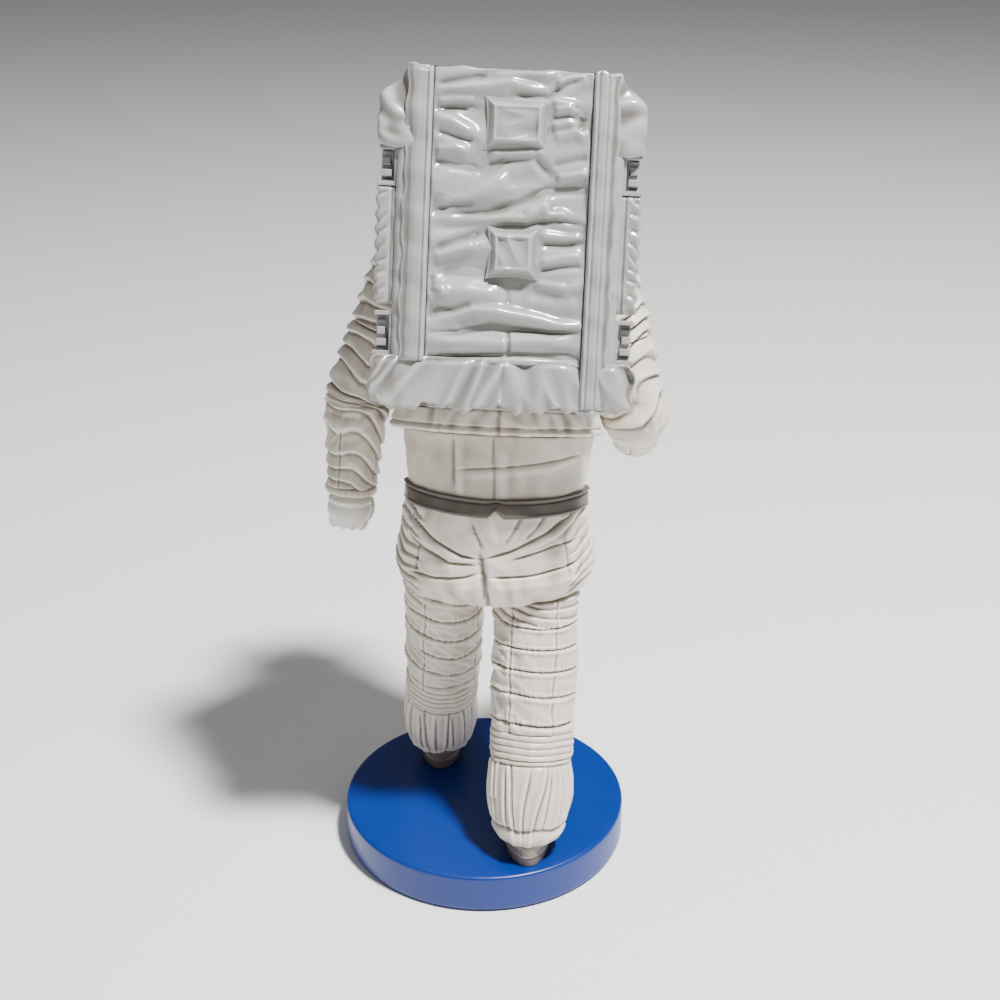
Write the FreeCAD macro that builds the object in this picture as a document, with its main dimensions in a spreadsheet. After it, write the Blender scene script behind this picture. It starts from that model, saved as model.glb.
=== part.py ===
import FreeCAD
import Part
import Sketcher
import os
import re
from FreeCAD import Placement, Rotation, Vector

# An astronaut display figure, 218 mm tall, standing on a round base. It faces -Y and +Z is up; the origin is the
# middle of the base's underside.
#
# The figure walks with its left leg forward and its trunk leaning over its toes, under a large back pack. The base,
# the legs and the hips are one fixed group, held by two rods and two screws. Above the waist the trunk turns on a
# post, the arms swing at the shoulders and turn at the cut below them, the hands turn at the cuffs, the helmet turns
# on its neck peg, the sun visor lifts on two pins, and the pack pulls off two pegs.

doc = FreeCAD.newDocument("AstronautFigure")
sheet = doc.addObject("Spreadsheet::Sheet", "Dims")

# Every size that can change, in millimetres and degrees.
DIMENSIONS = {
    # base
    "base_radius": 40.0,
    "base_top": 11.2,
    "base_lift": 0.4,
    "base_edge": 0.9,
    "pad_radius": 37.5,
    "pad_thickness": 1.0,
    "screw_shank": 1.4,
    "screw_head": 3.0,
    "screw_head_height": 1.6,
    "screw_tip": 19.5,
    # feet, on the base's top
    "foot_half_length": 12.8,
    "foot_half_width": 6.2,
    "foot_left_x": 13.2,
    "foot_left_y": -23.9,
    "foot_right_x": -12.0,
    "foot_right_y": 22.3,
    "sole_height": 2.6,
    "instep_height": 5.6,
    "boot_height": 12.4,
    "boot_neck_radius": 7.0,
    # legs, each in a frame that starts at the ankle and points up the leg
    "ankle_height": 21.0,
    "ankle_left_x": 13.4,
    "ankle_left_y": -17.4,
    "ankle_right_x": -12.4,
    "ankle_right_y": 25.6,
    "leg_left_lean": -12.5,
    "leg_left_roll": -3.0,
    "leg_left_radius": 10.3,
    "leg_right_lean": 21.0,
    "leg_right_roll": -2.0,
    "leg_right_radius": 11.2,
    "hem_drop": 3.6,
    "hem_tuck": 2.2,
    "gaiter_height": 17.5,
    "band_height": 7.0,
    "band_proud": 0.5,
    "rib_count": 4.0,
    "leg_top": 79.5,
    "thigh_length": 36.0,
    "thigh_full": 0.5,
    "rod_radius": 2.4,
    "rod_start": 6.5,
    "rod_length": 62.0,
    # hips
    "hip_x": -3.4,
    "hip_y": 1.0,
    "hip_low_width": 23.4,
    "hip_low_depth": 15.5,
    "hip_width": 26.4,
    "hip_depth": 19.6,
    "hip_height": 86.5,
    "hip_high_width": 25.4,
    "hip_high_depth": 18.8,
    "hip_high_height": 96.0,
    "crotch_radius": 3.0,
    "crotch_x": -1.6,
    # trunk frame: starts at the middle of the waist and points up the back
    "waist_x": -3.6,
    "waist_y": 1.0,
    "waist_z": 110.0,
    "trunk_lean": 17.0,
    "trunk_roll": -2.5,
    # waist
    "belt_height": 5.0,
    "belt_proud": 0.8,
    "waist_width": 23.4,
    "waist_depth": 17.4,
    "sleeve_height": 13.4,
    "sleeve_width": 25.2,
    "sleeve_depth": 18.6,
    "post_radius": 4.0,
    "post_depth": 12.0,
    "post_head": 6.0,
    "post_head_height": 2.0,
    # trunk shell
    "shell_wall": 2.2,
    "hem_height": 6.4,
    "hem_width": 28.2,
    "hem_depth": 21.2,
    "flare_height": 34.0,
    "chest_width": 22.9,
    "chest_depth": 20.4,
    "chest_height": 36.0,
    "back_width": 21.2,
    "back_depth": 19.4,
    "back_height": 50.0,
    "yoke_width": 19.2,
    "yoke_depth": 17.6,
    "collar_width": 14.8,
    "collar_depth": 13.4,
    "collar_height": 67.0,
    # neck and helmet, the helmet in a frame that starts at its centre
    "neck_ring_radius": 13.4,
    "neck_ring_height": 3.0,
    "neck_peg_radius": 3.0,
    "neck_peg_head": 4.6,
    "neck_peg_length": 16.0,
    "peg_head_height": 2.0,
    "helmet_forward": 3.0,
    "helmet_radius": 18.6,
    "helmet_wall": 1.7,
    "helmet_rise": 14.6,
    "helmet_floor": 2.2,
    "window_width": 14.2,
    "window_height": 11.4,
    "visor_thickness": 0.9,
    "visor_low": 44.0,
    "visor_high": 50.0,
    "visor_ear": 4.0,
    "pin_radius": 1.3,
    "pin_knob": 3.4,
    "pin_knob_height": 1.3,
    "bubble_wall": 1.3,
    "lamp_radius": 2.6,
    "lamp_length": 7.0,
    "lamp_rise": 7.4,
    "lamp_bar": 3.0,
    "lens_thickness": 0.6,
    # chest controls
    "module_width": 26.0,
    "module_low": 30.0,
    "module_height": 19.0,
    "module_front": 27.6,
    "module_edge": 1.6,
    "dial_radius": 2.3,
    "dial_height": 1.5,
    "dial_pitch": 7.2,
    # arms, each in a frame that starts in the shoulder and points down the arm, with +y to the front
    "shoulder_x": 23.6,
    "shoulder_z": 60.0,
    "shoulder_ball": 9.5,
    "shoulder_flat": 21.2,
    "yoke_radius": 8.8,
    "arm_left_splay": 19.3,
    "arm_right_splay": 17.0,
    "arm_forward": 5.5,
    "arm_top_radius": 9.0,
    "arm_cut_radius": 9.0,
    "arm_cut": 23.0,
    "elbow_reach": 42.0,
    "elbow_radius": 8.5,
    "shoulder_peg_radius": 2.8,
    "shoulder_peg_head": 4.2,
    "shoulder_peg_start": 10.0,
    "shoulder_peg_end": 27.5,
    "arm_peg_radius": 2.4,
    "arm_peg_head": 3.8,
    "arm_peg_length": 11.0,
    "elbow_left_bend": 16.0,
    "elbow_left_turn": 78.0,
    "elbow_right_bend": 66.0,
    "elbow_right_turn": 1.0,
    "forearm_length": 24.0,
    "wrist_radius": 6.6,
    "cuff_radius": 6.7,
    "cuff_height": 2.2,
    "cuff_bore": 3.4,
    "wrist_peg_radius": 2.0,
    "wrist_peg_head": 3.1,
    "wrist_peg_length": 7.0,
    # gloves
    "palm_width": 6.0,
    "palm_thick": 4.9,
    "palm_length": 6.8,
    "finger_radius": 1.6,
    "finger_length": 4.2,
    "finger_curl": 28.0,
    "finger_pitch": 2.6,
    "thumb_radius": 1.8,
    "thumb_length": 4.6,
    # pack, in the trunk frame; y runs from the figure's back to the pack's rear face
    "pack_front": 21.6,
    "pack_split": 29.0,
    "pack_rear": 34.2,
    "pack_half_width": 31.4,
    "pack_core": 26.4,
    "pack_low": 21.0,
    "pack_high": 100.8,
    "pack_corner_in": 7.0,
    "pack_corner_down": 7.8,
    "pack_head": 18.0,
    "pack_wall": 2.2,
    "skirt_height": 11.0,
    "skirt_proud": 1.8,
    "panel_half_width": 18.6,
    "panel_thickness": 0.8,
    "rail_width": 5.7,
    "rail_height": 2.4,
    "rail_round": 1.1,
    "upper_pad_width": 15.2,
    "upper_pad_height": 12.2,
    "upper_pad_z": 88.0,
    "lower_pad_width": 12.8,
    "lower_pad_height": 12.0,
    "lower_pad_z": 58.0,
    "pad_shift": 1.4,
    "pillow_height": 1.6,
    "pillow_bevel": 1.3,
    "pod_low": 45.0,
    "pod_high": 73.0,
    "pod_inset": 1.4,
    "pod_round": 1.8,
    "vent_low": 73.2,
    "vent_depth": 4.4,
    "vent_height": 9.4,
    "vent_bore": 2.2,
    "pack_peg_radius": 2.5,
    "pack_peg_x": 10.0,
    "pack_peg_z": 46.0,
    "pack_peg_length": 9.0,
    # clearances
    "turn_gap": 0.35,
    "arm_gap": 1.0,
    "bore_gap": 0.06,
    "fit_gap": 0.05,
}

for row, (alias, amount) in enumerate(DIMENSIONS.items(), start=1):
    sheet.set(f"A{row}", alias.replace("_", " "))
    sheet.set(f"B{row}", str(amount))
    sheet.setAlias(f"B{row}", alias)
doc.recompute()

gauge = doc.addObject("App::FeaturePython", "Gauge")
gauge.addProperty("App::PropertyFloat", "Reading")
finished = []

ALONG_X = Rotation(Vector(0, 1, 0), 90)
ALONG_Y = Rotation(Vector(1, 0, 0), -90)
UPRIGHT = Rotation()
SIDES = {"left": 1, "right": -1}


def formula(text):
    """The text with each dimension's name turned into a reference to its cell."""
    return re.sub(r"[a-z]\w*", lambda word: "Dims." + word[0] if word[0] in DIMENSIONS else word[0], str(text))


def number(text):
    """The number that a formula gives now."""
    gauge.setExpression("Reading", formula(text))
    gauge.recompute()
    return float(gauge.Reading)


def point(*texts):
    return Vector(*[number(text) for text in texts])


def turned(axis, text):
    return Rotation(axis, number(text))


X_AXIS = Vector(1, 0, 0)
Y_AXIS = Vector(0, 1, 0)
Z_AXIS = Vector(0, 0, 1)

# ------------------------------------------------------------------------------------------------ frames
WORLD = Placement()
TRUNK = Placement(
    point("waist_x", "waist_y", "waist_z"),
    turned(X_AXIS, "trunk_lean") * turned(Y_AXIS, "trunk_roll"),
)
HELMET = TRUNK * Placement(
    point("0", "-helmet_forward", "collar_height + neck_ring_height + turn_gap + helmet_rise"), UPRIGHT
)
LEG = {
    side: Placement(
        point(f"ankle_{side}_x", f"ankle_{side}_y", "ankle_height"),
        turned(X_AXIS, f"leg_{side}_lean") * turned(Y_AXIS, f"leg_{side}_roll"),
    )
    for side in SIDES
}
FOOT = {side: Placement(point(f"foot_{side}_x", f"foot_{side}_y", "base_top"), UPRIGHT) for side in SIDES}
ARM = {
    side: TRUNK
    * Placement(
        point(f"{sign} * shoulder_x", "0", "shoulder_z"),
        turned(X_AXIS, "-arm_forward")
        * turned(Y_AXIS, f"{-sign} * arm_{side}_splay")
        * Rotation(X_AXIS, 180),
    )
    for side, sign in SIDES.items()
}
FOREARM = {
    side: ARM[side]
    * Placement(
        point("0", "0", "elbow_reach"),
        turned(Z_AXIS, f"{sign} * elbow_{side}_turn")
        * turned(X_AXIS, f"-elbow_{side}_bend")
        * turned(Z_AXIS, f"{-sign} * elbow_{side}_turn"),
    )
    for side, sign in SIDES.items()
}


# ------------------------------------------------------------------------------------------------ tools
def primitive(kind, at=(0, 0, 0), turn=UPRIGHT, **sizes):
    """A Part primitive with its sizes and its position bound to the sheet."""
    thing = doc.addObject("Part::" + kind, kind)
    thing.Placement = Placement(Vector(), turn)
    for name, text in sizes.items():
        thing.setExpression(name, formula(text))
    for axis, text in zip("xyz", at):
        thing.setExpression("Placement.Base." + axis, formula(text))
    return thing


def cylinder(radius, height, at=(0, 0, 0), turn=UPRIGHT):
    return primitive("Cylinder", at, turn, Radius=radius, Height=height)


def box(low, high):
    """A box between two corners given as formulas."""
    spans = [f"({top}) - ({bottom})" for bottom, top in zip(low, high)]
    return primitive("Box", low, Length=spans[0], Width=spans[1], Height=spans[2])


def sphere(radius, at=(0, 0, 0)):
    return primitive("Sphere", at, Radius=radius)


def oval(width, depth, at=(0, 0, 0), turn=UPRIGHT):
    """A flat oval of two half sizes, the first one along x."""
    if number(width) >= number(depth):
        return primitive("Ellipse", at, turn, MajorRadius=width, MinorRadius=depth)
    return primitive("Ellipse", at, turn * Rotation(Z_AXIS, 90), MajorRadius=depth, MinorRadius=width)


def loft(*sections):
    thing = doc.addObject("Part::Loft", "Loft")
    thing.Sections = list(sections)
    thing.Solid = True
    return thing


def extruded(section, height, along=Z_AXIS):
    thing = doc.addObject("Part::Extrusion", "Extrusion")
    thing.Base = section
    thing.DirMode = "Custom"
    thing.Dir = along
    thing.Solid = True
    thing.setExpression("LengthFwd", formula(height))
    return thing


def joined(*things):
    thing = doc.addObject("Part::MultiFuse", "Joined")
    thing.Shapes = list(things)
    thing.Refine = False
    return thing


def shared(first, second):
    thing = doc.addObject("Part::Common", "Shared")
    thing.Base = first
    thing.Tool = second
    thing.Refine = False
    return thing


def without(base, *tools):
    """The base with each tool cut away."""
    for tool in tools:
        cut = doc.addObject("Part::Cut", "Without")
        cut.Base = base
        cut.Tool = tool
        cut.Refine = False
        base = cut
    return base


def moved(thing, frame):
    """The thing set in another frame, at the place its formulas give."""
    thing.recompute()
    place = frame * thing.Placement
    for path, _ in thing.ExpressionEngine:
        if "Placement" in path:
            thing.setExpression(path.lstrip("."), None)
    thing.Placement = place
    return thing


def new_body(name):
    return doc.addObject("PartDesign::Body", name.title().replace("_", "") + "Body")


def outline(body, role, points):
    """A closed outline on one of the body's own planes, each corner set by two formulas."""
    sketch = body.newObject("Sketcher::SketchObject", "Outline")
    plane = [feature for feature in body.Origin.OriginFeatures if feature.Role == role][0]
    sketch.AttachmentSupport = [(plane, "")]
    sketch.MapMode = "FlatFace"
    corners = [point(across, up, "0") for across, up in points]
    for index, corner in enumerate(corners):
        sketch.addGeometry(Part.LineSegment(corner, corners[(index + 1) % len(corners)]))
    for index in range(len(corners)):
        sketch.addConstraint(Sketcher.Constraint("Coincident", index, 2, (index + 1) % len(corners), 1))
    for index, (across, up) in enumerate(points):
        for direction, text, start in (("X", across, corners[index].x), ("Y", up, corners[index].y)):
            fixed = sketch.addConstraint(Sketcher.Constraint("Distance" + direction, -1, 1, index, 1, start))
            sketch.setExpression(f"Constraints[{fixed}]", formula(text))
    return sketch


def padded(name, points, low, high):
    """A body made by padding an outline in the xz plane from y = low to y = high."""
    body = new_body(name)
    sketch = outline(body, "XZ_Plane", points)
    sketch.setExpression("AttachmentOffset.Base.z", formula(f"-({high})"))
    pad = body.newObject("PartDesign::Pad", "Pad")
    pad.Profile = sketch
    pad.setExpression("Length", formula(f"({high}) - ({low})"))
    return body, pad


def revolved(name, points):
    """A body turned about z from an outline of radius and height pairs."""
    body = new_body(name)
    turning = body.newObject("PartDesign::Revolution", "Turning")
    sketch = outline(body, "XZ_Plane", points)
    turning.Profile = sketch
    turning.ReferenceAxis = (sketch, ["V_Axis"])
    turning.Angle = 360
    body.Tip = turning
    return body


def rounded_edges(body, feature, radius, wanted):
    """Rounds the edges of the feature that the test picks."""
    doc.recompute()
    names = [f"Edge{index}" for index, edge in enumerate(feature.Shape.Edges, start=1) if wanted(edge)]
    rounding = body.newObject("PartDesign::Fillet", "Rounding")
    rounding.Base = (feature, names)
    rounding.setExpression("Radius", formula(radius))
    return rounding


def finish(name, thing, frame=WORLD):
    """Names a sub-part and sets it in its frame."""
    thing.Label = name
    moved(thing, frame)
    finished.append((name, thing))
    return thing


def mushroom(name, shaft, head, start, end):
    """A peg with a head at its start; both ends are measured along z."""
    return revolved(
        name,
        [
            ("0", start),
            (head, start),
            (head, f"{start} + peg_head_height"),
            (shaft, f"{start} + peg_head_height"),
            (shaft, end),
            ("0", end),
        ],
    )


def mushroom_room(shaft, head, start, end, turn=UPRIGHT, at=(0, 0, 0)):
    """The hole a turning mushroom peg needs: a close bore round its shaft and a wider pocket for its head."""
    lift = turn.multVec(Z_AXIS)

    def along(text):
        return [f"{base} + {part:.0f} * ({text})" for base, part in zip(at, lift)]

    bore = cylinder(f"{shaft} + bore_gap", f"({end}) - ({start})", along(start), turn)
    pocket = cylinder(f"{head} + turn_gap", "peg_head_height + 2 * turn_gap", along(f"{start} - turn_gap"), turn)
    return joined(bore, pocket)


# ------------------------------------------------------------------------------------------------ base
def make_base():
    """The round base, with a felt pad let into its underside and a screw up into each boot."""
    disc = revolved(
        "base_disc",
        [
            ("0", "pad_thickness"),
            ("pad_radius + fit_gap", "pad_thickness"),
            ("pad_radius + fit_gap", "base_lift"),
            ("base_radius", "base_lift"),
            ("base_radius", "base_top"),
            ("0", "base_top"),
        ],
    )
    top, rim = number("base_top"), number("base_radius")
    rounded_edges(
        disc,
        disc.Tip,
        "base_edge",
        lambda edge: abs(edge.BoundBox.ZMin - top) < 1e-4 and abs(edge.BoundBox.XMax - rim) < 1e-4,
    )
    holes = []
    for side in SIDES:
        x, y = f"foot_{side}_x", f"foot_{side}_y"
        holes.append(cylinder("screw_head + fit_gap", "screw_head_height", (x, y, "pad_thickness")))
        holes.append(cylinder("screw_shank + fit_gap", "base_top", (x, y, "pad_thickness")))
        screw = revolved(
            "base_screw",
            [
                ("0", "pad_thickness"),
                ("screw_head", "pad_thickness"),
                ("screw_head", "pad_thickness + screw_head_height"),
                ("screw_shank", "pad_thickness + screw_head_height"),
                ("screw_shank", "screw_tip"),
                ("0", "screw_tip"),
            ],
        )
        finish(f"base_screw_{side}", screw, Placement(point(x, y, "0"), UPRIGHT))
    finish("base_disc", without(disc, joined(*holes)))
    finish("base_pad", cylinder("pad_radius", "pad_thickness"))


# ------------------------------------------------------------------------------------------------ legs
def boot_form(side, extra="0"):
    """The boot above its sole, in the foot's frame; extra makes the room it needs inside the gaiter."""
    neck = f"ankle_{side}_y - foot_{side}_y"
    return loft(
        oval(f"foot_half_width + {extra}", f"foot_half_length + {extra}", ("0", "0", "sole_height")),
        oval(f"foot_half_width + {extra}", f"foot_half_length * 0.9 + {extra}", ("0", "1.2", "instep_height")),
        oval(
            f"foot_half_width + {extra}",
            f"foot_half_length * 0.66 + {extra}",
            ("0", f"({neck}) * 0.55", "instep_height + 3"),
        ),
        oval(f"boot_neck_radius + {extra}", f"boot_neck_radius + {extra}", ("0", neck, "boot_height")),
    )


def make_leg(side):
    """Sole, boot, gaiter, ribbed knee band and thigh, strung on one rod that ends in the hips."""
    foot, leg = FOOT[side], LEG[side]
    radius = f"leg_{side}_radius"

    def screw_hole():
        return cylinder("screw_shank + fit_gap", "screw_tip - base_top + fit_gap")

    sole = extruded(oval("foot_half_width", "foot_half_length"), "sole_height")
    finish(f"sole_{side}", without(sole, screw_hole()), foot)
    finish(f"boot_{side}", without(boot_form(side), screw_hole()), foot)

    level = leg.Rotation.inverted()
    gaiter = loft(
        oval(f"{radius} - hem_tuck", f"{radius} - hem_tuck", ("0", "0", "-hem_drop"), level),
        oval(radius, radius, ("0", "0", "3.5")),
        oval(f"{radius} + 0.2", f"{radius} + 0.2", ("0", "0", "11")),
        oval(f"{radius} - 0.4", f"{radius} - 0.4", ("0", "0", "gaiter_height")),
    )
    rod_hole = cylinder("rod_radius + fit_gap", "rod_length + fit_gap", ("0", "0", "rod_start - fit_gap"))
    room = moved(joined(boot_form(side, "fit_gap"), screw_hole()), leg.inverse() * foot)
    finish(f"gaiter_{side}", without(gaiter, room, rod_hole), leg)

    ribs = int(round(number("rib_count")))
    wall = [("rod_radius + fit_gap", "gaiter_height"), (f"{radius} - 0.2", "gaiter_height")]
    for rib in range(ribs):
        foot_of_rib = f"gaiter_height + band_height * {rib}.15 / rib_count"
        head_of_rib = f"gaiter_height + band_height * {rib}.85 / rib_count"
        wall += [(f"{radius} - 0.2", foot_of_rib), (f"{radius} + band_proud", foot_of_rib)]
        wall += [(f"{radius} + band_proud", head_of_rib), (f"{radius} - 0.2", head_of_rib)]
    wall += [
        (f"{radius} - 0.2", "gaiter_height + band_height"),
        ("rod_radius + fit_gap", "gaiter_height + band_height"),
    ]
    finish(f"knee_band_{side}", revolved("knee_band", wall), leg)

    start = "gaiter_height + band_height"
    slant = f"cos(leg_{side}_lean * 1 deg)"
    top = f"(leg_top - ankle_height) / {slant} / cos(leg_{side}_roll * 1 deg)"
    thigh = loft(
        oval(radius, radius, ("0", "0", start)),
        oval(f"{radius} + thigh_full", f"{radius} + thigh_full", ("0", "0", f"{start} + thigh_length * 0.5")),
        oval(f"{radius} + 0.2", f"({radius} + 0.2) / {slant}", ("0", "0", top), level),
    )
    finish(f"thigh_{side}", without(thigh, rod_hole), leg)
    finish(f"leg_rod_{side}", cylinder("rod_radius", "rod_length", ("0", "0", "rod_start")), leg)


# ------------------------------------------------------------------------------------------------ hips and waist
def make_hips():
    """The hips, with the post the trunk turns on, the belt and the waist sleeve."""
    form = loft(
        oval("hip_low_width", "hip_low_depth", ("hip_x", "hip_y", "leg_top")),
        oval("hip_width", "hip_depth", ("hip_x", "hip_y", "hip_height")),
        oval("hip_high_width", "hip_high_depth", ("hip_x", "hip_y", "hip_high_height")),
        moved(oval("waist_width", "waist_depth", ("0", "0", "-belt_height")), TRUNK),
    )
    crotch = cylinder("crotch_radius", "4 * hip_depth", ("crotch_x", "-2 * hip_depth", "leg_top"), ALONG_Y)
    rods = []
    for side in SIDES:
        rod = cylinder("rod_radius + fit_gap", "rod_length + fit_gap", ("0", "0", "rod_start - fit_gap"))
        rods.append(moved(rod, LEG[side]))
    post = cylinder("post_radius + fit_gap", "post_depth + 1", ("0", "0", "-post_depth - fit_gap"))
    post_hole = moved(post, TRUNK)
    finish("pelvis", without(form, crotch, *rods, post_hole))

    strap = extruded(
        oval("waist_width + belt_proud", "waist_depth + belt_proud", ("0", "0", "-belt_height")), "belt_height"
    )
    belt_hole = cylinder("post_radius + fit_gap", "belt_height + 2", ("0", "0", "-belt_height - 1"))
    finish("belt", without(strap, belt_hole), TRUNK)

    sleeve = loft(
        oval("waist_width", "waist_depth"),
        oval("sleeve_width", "sleeve_depth", ("0", "0", "sleeve_height")),
    )
    hole = cylinder("post_radius + fit_gap", "sleeve_height + 2", ("0", "0", "-1"))
    finish("waist_sleeve", without(sleeve, hole), TRUNK)

    plate_top = "sleeve_height + turn_gap + hem_height + shell_wall"
    post = revolved(
        "waist_post",
        [
            ("0", "-post_depth"),
            ("post_radius", "-post_depth"),
            ("post_radius", f"{plate_top} + turn_gap"),
            ("post_head", f"{plate_top} + turn_gap"),
            ("post_head", f"{plate_top} + turn_gap + post_head_height"),
            ("0", f"{plate_top} + turn_gap + post_head_height"),
        ],
    )
    finish("waist_post", post, TRUNK)


# ------------------------------------------------------------------------------------------------ trunk
HEM_TOP = "sleeve_height + turn_gap + hem_height"


def trunk_form():
    """The outside of the trunk, with a yoke that carries the shoulders."""
    form = loft(
        oval("hem_width - 0.4", "hem_depth", ("0", "0", HEM_TOP)),
        oval("chest_width", "chest_depth", ("0", "0", "chest_height")),
        oval("back_width", "back_depth", ("0", "0", "back_height")),
        oval("yoke_width", "yoke_depth", ("0", "0", "shoulder_z")),
        oval("collar_width", "collar_depth", ("0", "0", "collar_height")),
    )
    yoke = cylinder("yoke_radius", "2 * shoulder_flat", ("-shoulder_flat", "0", "shoulder_z"), ALONG_X)
    return joined(form, yoke)


def trunk_rooms():
    """The hollow in the trunk and the holes for the four pegs that turn in it and the two that slide."""
    hollow = loft(
        oval(
            "hem_width - 0.4 - 2 * shell_wall",
            "hem_depth - 2 * shell_wall",
            ("0", "0", f"{HEM_TOP} + shell_wall"),
        ),
        oval(
            "chest_width - 1.5 * shell_wall",
            "chest_depth - 1.5 * shell_wall",
            ("0", "0", "chest_height + 2"),
        ),
    )
    post = cylinder("post_radius + bore_gap", "hem_height + shell_wall + 2", ("0", "0", f"{HEM_TOP} - 1"))
    neck = mushroom_room(
        "neck_peg_radius", "neck_peg_head", "collar_height - neck_peg_length + 4", "collar_height + 1"
    )
    pegs = [
        cylinder(
            "pack_peg_radius + bore_gap",
            "pack_peg_length + 1",
            (f"{sign} * pack_peg_x", "pack_front - pack_peg_length - turn_gap", "pack_peg_z"),
            ALONG_Y,
        )
        for sign in SIDES.values()
    ]
    shoulders = []
    for sign in SIDES.values():
        turn = ALONG_X if sign > 0 else ALONG_X.inverted()
        shoulders.append(
            mushroom_room(
                "shoulder_peg_radius",
                "shoulder_peg_head",
                "shoulder_peg_start",
                "shoulder_flat + 1",
                turn,
                ("0", "0", "shoulder_z"),
            )
        )
    seat = cylinder("neck_ring_radius + 1", "neck_ring_height", ("0", "0", "collar_height"))
    return [hollow, post, neck, seat] + pegs + shoulders


def arm_room(side):
    """The flat side that lets an arm swing past the trunk, in the trunk's frame."""
    far = "2 * hem_width"
    wide = "arm_cut_radius + arm_gap"
    if SIDES[side] > 0:
        slab = box((f"-({wide})", f"-{far}", "0"), (far, far, far))
        outside = box(("shoulder_flat", f"-{far}", "0"), (far, far, "shoulder_z"))
    else:
        slab = box((f"-{far}", f"-{far}", "0"), (wide, far, far))
        outside = box((f"-{far}", f"-{far}", "0"), ("-shoulder_flat", far, "shoulder_z"))
    return shared(outside, moved(slab, TRUNK.inverse() * ARM[side]))


def make_trunk():
    """Front and back halves on a flared foot over a turning hem plate, with the neck ring and the chest controls."""
    reach = "2 * hem_width"
    rooms = trunk_rooms()
    arms = [arm_room(side) for side in SIDES]
    low_part = box((f"-{reach}", f"-{reach}", "0"), (reach, reach, "flare_height"))
    finish("torso_flare", without(shared(trunk_form(), low_part), *rooms, *arms), TRUNK)
    for name, low, high in (("torso_front", f"-{reach}", "0"), ("torso_back", "0", reach)):
        half = box((f"-{reach}", low, "flare_height"), (reach, high, "2 * collar_height"))
        finish(name, without(shared(trunk_form(), half), *rooms, *arms), TRUNK)

    plate = loft(
        oval("hem_width", "hem_depth", ("0", "0", "sleeve_height + turn_gap")),
        oval("hem_width + 0.4", "hem_depth + 0.4", ("0", "0", "sleeve_height + turn_gap + hem_height / 2")),
        oval("hem_width", "hem_depth", ("0", "0", HEM_TOP)),
    )
    hole = cylinder("post_radius + bore_gap", "hem_height + 4", ("0", "0", "sleeve_height - 1"))
    finish("hem_band", without(plate, hole, *arms), TRUNK)

    ring = revolved(
        "neck_ring",
        [
            ("neck_peg_radius + bore_gap", "collar_height"),
            ("neck_ring_radius", "collar_height"),
            ("neck_ring_radius + 0.6", "collar_height + neck_ring_height / 2"),
            ("neck_ring_radius", "collar_height + neck_ring_height"),
            ("neck_peg_radius + bore_gap", "collar_height + neck_ring_height"),
        ],
    )
    finish("neck_ring", ring, TRUNK)

    half, low, high = "module_width / 2", "module_low", "module_low + module_height"
    case, pad = padded(
        "chest_module",
        [(f"-{half}", low), (half, low), (half, high), (f"-{half}", high)],
        "-module_front",
        "-chest_depth / 2",
    )
    front = -number("module_front")
    rounded_edges(case, pad, "module_edge", lambda edge: edge.BoundBox.YMax < front + 1e-4)
    finish("chest_module", without(case, trunk_form()), TRUNK)

    dials = [
        cylinder(
            "dial_radius",
            "dial_height",
            (f"{step} * dial_pitch", "-module_front", f"({low}) + module_height * 0.64"),
            ALONG_Y.inverted(),
        )
        for step in (-1, 0, 1)
    ]
    strip = box(
        ("-dial_pitch * 1.2", "-module_front - 0.5", f"({low}) + module_height * 0.2"),
        ("dial_pitch * 1.2", "-module_front", f"({low}) + module_height * 0.8"),
    )
    finish("chest_dials", joined(strip, *dials), TRUNK)


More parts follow.
